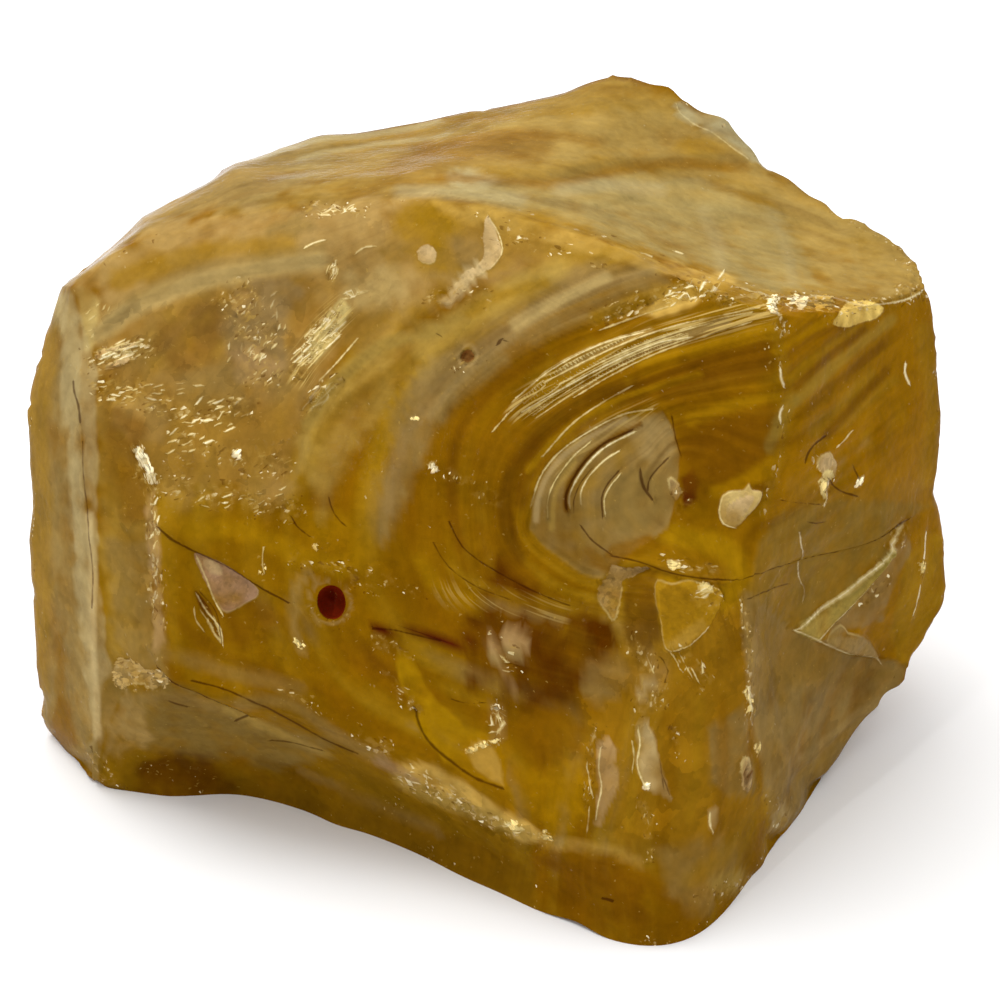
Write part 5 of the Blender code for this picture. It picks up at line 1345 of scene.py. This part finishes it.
def milkyAmberSlagGlass():
    material = bpy.data.materials.new("milkyAmberSlagGlass")
    material.use_nodes = True
    tree = material.node_tree
    shader = tree.nodes["Principled BSDF"]
    shader.inputs["IOR"].default_value = opal["ior"]
    shader.inputs["Specular Tint"].default_value = (*hexToLinear(opal["shineTint"]), 1)

    def kept(name, output="Fac"):
        return addNode(tree, "ShaderNodeAttribute", {"attribute_name": name}).outputs[output]

    def vector(operation, settings, links):
        return addNode(tree, "ShaderNodeVectorMath", {"operation": operation, **settings}, links)

    def count(operation, a, b=None, c=None, clamp=False):
        settings = {"operation": operation, "use_clamp": clamp}
        links = {}
        for slot, value in enumerate((a, b, c)):
            if value is None:
                continue
            if isinstance(value, (int, float)):
                settings[slot] = value
            else:
                links[slot] = value
        return addNode(tree, "ShaderNodeMath", settings, links).outputs[0]

    def blend(share, first, second):
        settings = {"data_type": "RGBA"}
        links = {}
        for slot, value in ((0, share), (6, first), (7, second)):
            if isinstance(value, (int, float)):
                settings[slot] = value
            elif isinstance(value, np.ndarray):
                settings[slot] = (*value, 1)
            else:
                links[slot] = value
        return addNode(tree, "ShaderNodeMix", settings, links).outputs[2]

    def spread(value, low, high, first, last):
        ends = {1: low, 2: high, 3: first, 4: last}
        return addNode(tree, "ShaderNodeMapRange", ends, {0: value}).outputs[0]

    place = addNode(tree, "ShaderNodeTexCoord").outputs["Object"]
    inMm = vector("SCALE", {"Scale": 1000.0}, {0: place}).outputs[0]
    layers = count("DIVIDE", kept("flow"), view["unitsPerMm"])

    # the streaks: noise that changes fast across the layers and slowly along them
    def streaks(perMm, along, detail):
        slow = vector("SCALE", {"Scale": along}, {0: inMm}).outputs[0]
        apart = addNode(tree, "ShaderNodeSeparateXYZ", links={0: slow})
        across = count("MULTIPLY", layers, perMm)
        parts = {0: apart.outputs[0], 1: apart.outputs[2], 2: across}
        lifted = addNode(tree, "ShaderNodeCombineXYZ", links=parts)
        return addNode(tree, "ShaderNodeTexNoise", {"Scale": 1.0, "Detail": detail},
                       {"Vector": lifted.outputs[0]}).outputs[0]

    def blotches(perMm):
        size = {"Scale": perMm, "Detail": 2.0}
        return addNode(tree, "ShaderNodeTexNoise", size, {"Vector": inMm}).outputs[0]

    broad = streaks(opal["streakPerMm"], opal["along"], 1.0)
    hair = streaks(opal["hairPerMm"], opal["hairAlong"], 0.0)
    cloud = blotches(opal["cloudPerMm"])
    mottle = blotches(opal["mottlePerMm"])
    streaky = kept("streaky")
    silk = kept("silk")

    # each speck of crushed glass is a cell with its own slope; where it leans one way it is painted as a
    # bright glint, where it leans the other way as painted shade
    chipPlace = kept("chipPlace", "Vector")
    cells = addNode(tree, "ShaderNodeTexVoronoi", {"Scale": opal["chipPerMm"]}, {"Vector": chipPlace})
    cellDraw = addNode(tree, "ShaderNodeSeparateColor", links={0: cells.outputs["Color"]})
    fromMiddle = vector("SUBTRACT", {}, {0: chipPlace, 1: cells.outputs["Position"]}).outputs[0]
    slopes = vector("SUBTRACT", {1: (0.5, 0.5, 0.5)}, {0: cells.outputs["Color"]}).outputs[0]
    lean = vector("DOT_PRODUCT", {}, {0: fromMiddle, 1: slopes}).outputs["Value"]
    frost = kept("frost")
    gathered = spread(mottle, 0.42, 0.62, 0.15, 1.0)
    dense = count("MULTIPLY", frost, gathered)
    rare = count("MULTIPLY_ADD", dense, 0.52, 0.008)
    drawn = count("SUBTRACT", count("ADD", cellDraw.outputs[0], rare), 1.0)
    drawn = count("MULTIPLY", drawn, 40.0, clamp=True)
    core = count("MULTIPLY_ADD", dense, 0.08, count("SUBTRACT", lean, 0.04))
    core = count("MULTIPLY", core, 18.0, clamp=True)
    chip = count("MULTIPLY", drawn, core)
    # painted shade on the part of a speck that leans the other way
    shade = count("MULTIPLY", count("MULTIPLY", count("ADD", lean, 0.04), -12.0, clamp=True), drawn)

    # larger flat plates with wavy borders where the face crumbled
    sway = addNode(tree, "ShaderNodeCombineXYZ", links={0: mottle, 1: mottle, 2: broad}).outputs[0]
    warp = vector("MULTIPLY_ADD", {1: (opal["plateWarp"],) * 3}, {0: sway, 2: inMm}).outputs[0]
    plates = addNode(tree, "ShaderNodeTexVoronoi", {"Scale": opal["platePerMm"]}, {"Vector": warp})
    plateDraw = addNode(tree, "ShaderNodeSeparateColor", links={0: plates.outputs["Color"]}).outputs[0]
    platy = kept("platy")
    nibble = count("SUBTRACT", cellDraw.outputs[1], 0.5)

    # masks with crisp edges, cut from distances kept on the mesh
    def lineMask(side, reach):
        off = vector("ABSOLUTE", {}, {0: kept(side, "Vector")}).outputs[0]
        gap = vector("SUBTRACT", {}, {0: kept(reach, "Vector"), 1: off}).outputs[0]
        part = addNode(tree, "ShaderNodeSeparateXYZ", links={0: gap})
        return count("MAXIMUM", count("MAXIMUM", part.outputs[0], part.outputs[1]), part.outputs[2])

    ragged = count("SUBTRACT", mottle, 0.5)
    crackGap = lineMask("crackSide", "crackReach")
    rimGap = lineMask("rimAndGlintSide", "rimAndGlintReach")
    comesAndGoes = spread(cloud, 0.36, 0.6, 0.15, 1.0)
    rimStep = rimGap       # the relief goes without the nibbled border, which costs much render time
    rimGap = count("MULTIPLY_ADD", nibble, 0.35, rimGap)
    crack = count("MULTIPLY_ADD", count("MULTIPLY_ADD", ragged, 2.0, crackGap), 0.8, 0.2, clamp=True)
    rim = count("MULTIPLY_ADD", count("MULTIPLY_ADD", ragged, 2.0, rimGap), 0.8, 0.2, clamp=True)
    rim = count("MULTIPLY", rim, comesAndGoes)
    grit = kept("flakeGrit")
    wander = count("MULTIPLY", ragged, 7.0)
    flakeStep = count("MULTIPLY_ADD", wander, grit, kept("flakeEdge"))
    flakeGap = count("MULTIPLY_ADD", count("MULTIPLY", nibble, 2.6), grit, flakeStep)
    flake = count("MULTIPLY_ADD", flakeGap, 0.9, 0.5, clamp=True)

    # colour
    colour = kept("glassTint", "Color")
    swing = count("MULTIPLY", count("SUBTRACT", broad, 0.5), opal["streakSwing"])
    swing = count("MULTIPLY_ADD", count("SUBTRACT", hair, 0.5), opal["hairSwing"], swing)
    swing = count("MULTIPLY", swing, streaky)
    swing = count("MULTIPLY_ADD", count("SUBTRACT", cloud, 0.5), opal["cloudSwing"], swing)
    swing = count("MULTIPLY_ADD", ragged, opal["mottleSwing"], swing)
    plateSwing = count("MULTIPLY", count("SUBTRACT", plateDraw, 0.5), platy)
    swing = count("MULTIPLY_ADD", plateSwing, opal["plateSwing"], swing)
    colour = vector("SCALE", {}, {0: colour, "Scale": count("ADD", swing, 1.0)}).outputs[0]
    goldLayer = count("MULTIPLY", spread(broad, 0.56, 0.72, 0.0, opal["goldCover"]), streaky)
    deepLayer = count("MULTIPLY", spread(broad, 0.44, 0.3, 0.0, opal["deepCover"]), streaky)
    silkLayer = count("MULTIPLY", spread(hair, 0.56, 0.68, 0.0, opal["silkCover"]), silk)
    for layer, tone in ((goldLayer, "gold"), (deepLayer, "deep"), (silkLayer, "silk")):
        colour = blend(layer, colour, tones[tone])
    flakeSwing = count("MULTIPLY_ADD", nibble, grit, count("MULTIPLY_ADD", ragged, 0.45, 1.0))
    flakeColour = vector("SCALE", {}, {0: kept("flakeTint", "Color"), "Scale": flakeSwing}).outputs[0]
    colour = blend(flake, colour, flakeColour)
    # painted highlight on chip edges that look up to the light, painted shade on those that look down
    edgeBand = count("SUBTRACT", 1.0, count("MULTIPLY", count("ABSOLUTE", flakeGap), 0.6), clamp=True)
    edgeLit = count("MULTIPLY", count("MULTIPLY", edgeBand, kept("flakeLit")), comesAndGoes)
    colour = blend(count("MULTIPLY", edgeLit, 0.8, clamp=True), colour, tones["rim"])
    colour = blend(count("MULTIPLY", edgeLit, -0.6, clamp=True), colour, tones["brown"])
    colour = blend(count("MULTIPLY", shade, 0.6), colour, tones["brown"])
    # painted glints: the specks' bright cores run from pale gold to near white
    whiteShare = count("MULTIPLY_ADD", count("SUBTRACT", dense, 0.9, clamp=True), 0.8,
                       count("POWER", cellDraw.outputs[2], 6.0))
    faint = count("MULTIPLY", count("ADD", count("MULTIPLY_ADD", dense, 0.3, 0.03),
                                    count("SUBTRACT", cellDraw.outputs[2], 1.0)), 40.0, clamp=True)
    colour = blend(count("MULTIPLY", count("MULTIPLY", faint, core), 0.5), colour, tones["butter"])
    goldShare = count("POWER", cellDraw.outputs[2], 3.0)
    chipTone = blend(whiteShare, blend(goldShare, tones["butter"], tones["rim"]), tones["chip"])
    colour = blend(count("MULTIPLY", chip, opal["chipCover"]), colour, chipTone)
    colour = blend(spread(dense, 0.2, 1.0, 0.0, opal["frostCover"]), colour, tones["butter"])
    # bright lines take pale gold with a whiter core: painted glints and highlights as well as broken rims
    rimCore = count("MULTIPLY", count("SUBTRACT", rimGap, 0.8), 1.6, clamp=True)
    rimTone = blend(rimCore, tones["rim"], tones["chip"])
    colour = blend(count("MULTIPLY", rim, opal["rimCover"]), colour, rimTone)
    colour = blend(count("MULTIPLY", crack, opal["crackCover"]), colour, tones["crack"])
    tree.links.new(colour, shader.inputs["Base Color"])

    # gloss
    gleam = count("MAXIMUM", chip, count("MULTIPLY", rim, 0.6))
    rough = spread(cloud, 0.3, 0.7, opal["roughness"] * 0.75, opal["roughness"] * 1.4)
    rough = addNode(tree, "ShaderNodeMix", {"data_type": "FLOAT", 3: opal["chipRoughness"]},
                    {0: gleam, 2: rough}).outputs[0]
    tree.links.new(rough, shader.inputs["Roughness"])
    shine = spread(gleam, 0.0, 1.0, opal["shine"], opal["chipShine"])
    tree.links.new(shine, shader.inputs["Specular IOR Level"])

    # fine relief in mm
    height = count("MULTIPLY", broad, count("MULTIPLY", streaky, streaky))
    height = count("MULTIPLY", height, opal["streakHeight"])
    height = count("MULTIPLY_ADD", mottle, opal["mottleHeight"], height)
    height = count("MULTIPLY_ADD", count("MULTIPLY", count("MULTIPLY_ADD", silk, 3.0, 0.25), streaky),
                   count("MULTIPLY", hair, opal["hairHeight"]), height)
    for gap, steep, step in ((flakeStep, 0.3, "flakeHeight"), (rimStep, 0.5, "rimHeight"),
                             (crackGap, 0.5, "crackHeight")):
        height = count("MULTIPLY_ADD", count("MULTIPLY_ADD", gap, steep, 0.5, clamp=True), opal[step], height)
    bump = addNode(tree, "ShaderNodeBump", {"Strength": 1.0, "Distance": mm}, {"Height": height})
    tree.links.new(bump.outputs[0], shader.inputs["Normal"])
    return material


mesh.materials.clear()
mesh.materials.append(milkyAmberSlagGlass())
print("opal glass ready")

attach(glass, "root")
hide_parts("glass_chunk")

# floor and light
studio = {"floorSize": 6, "overhead": 1.27, "level": 0.05, "behind": 0.28,
          "lights": {"keyAbove": {"place": (-0.35, 0.25, 1.0), "size": (0.9, 0.9), "power": 7.0},
                     "glintLeft": {"place": (-0.62, -0.85, 0.52), "size": (0.025, 0.035), "power": 1.6},
                     "glintHigh": {"place": (0.25, -0.75, 0.95), "size": (0.025, 0.025), "power": 1.3}}}

bpy.ops.mesh.primitive_plane_add(size=studio["floorSize"], location=(0, 0, 0))
floor = bpy.context.object
floor.name = "studioFloor"
paper = bpy.data.materials.new("whiteSweepPaper")
paper.use_nodes = True
paper.node_tree.nodes["Principled BSDF"].inputs["Base Color"].default_value = (0.92, 0.92, 0.92, 1)
paper.node_tree.nodes["Principled BSDF"].inputs["Roughness"].default_value = 0.9
floor.data.materials.append(paper)

# soft white room, bright overhead and behind, dim at the camera's level so that the glass keeps its depth
world = bpy.data.worlds.new("studioWorld")
world.use_nodes = True
air = world.node_tree
toward = addNode(air, "ShaderNodeTexCoord").outputs["Generated"]
apart = addNode(air, "ShaderNodeSeparateXYZ", links={0: toward})
behind = addNode(air, "ShaderNodeMath", {"operation": "MULTIPLY_ADD", 1: studio["behind"]},
                 {0: apart.outputs[1], 2: apart.outputs[2]})
glow = addNode(air, "ShaderNodeMapRange", {1: 0.0, 2: 0.8, 3: studio["level"], 4: studio["overhead"]},
               {0: behind.outputs[0]})
air.links.new(glow.outputs[0], air.nodes["Background"].inputs["Strength"])
air.nodes["Background"].inputs["Color"].default_value = (1, 1, 1, 1)
bpy.context.scene.world = world


def areaLight(name, place, size, power, aim=(0, 0, 0.04)):
    bpy.ops.object.light_add(type="AREA", location=place)
    light = bpy.context.object
    light.name = name
    light.data.shape = "RECTANGLE"
    light.data.size = size[0]
    light.data.size_y = size[1]
    light.data.energy = power
    light.rotation_euler = (Vector(aim) - Vector(place)).to_track_quat("-Z", "Y").to_euler()


for lightName, lamp in studio["lights"].items():
    areaLight(lightName, **lamp)
bpy.context.scene.view_settings.view_transform = "Standard"
print("studio ready")
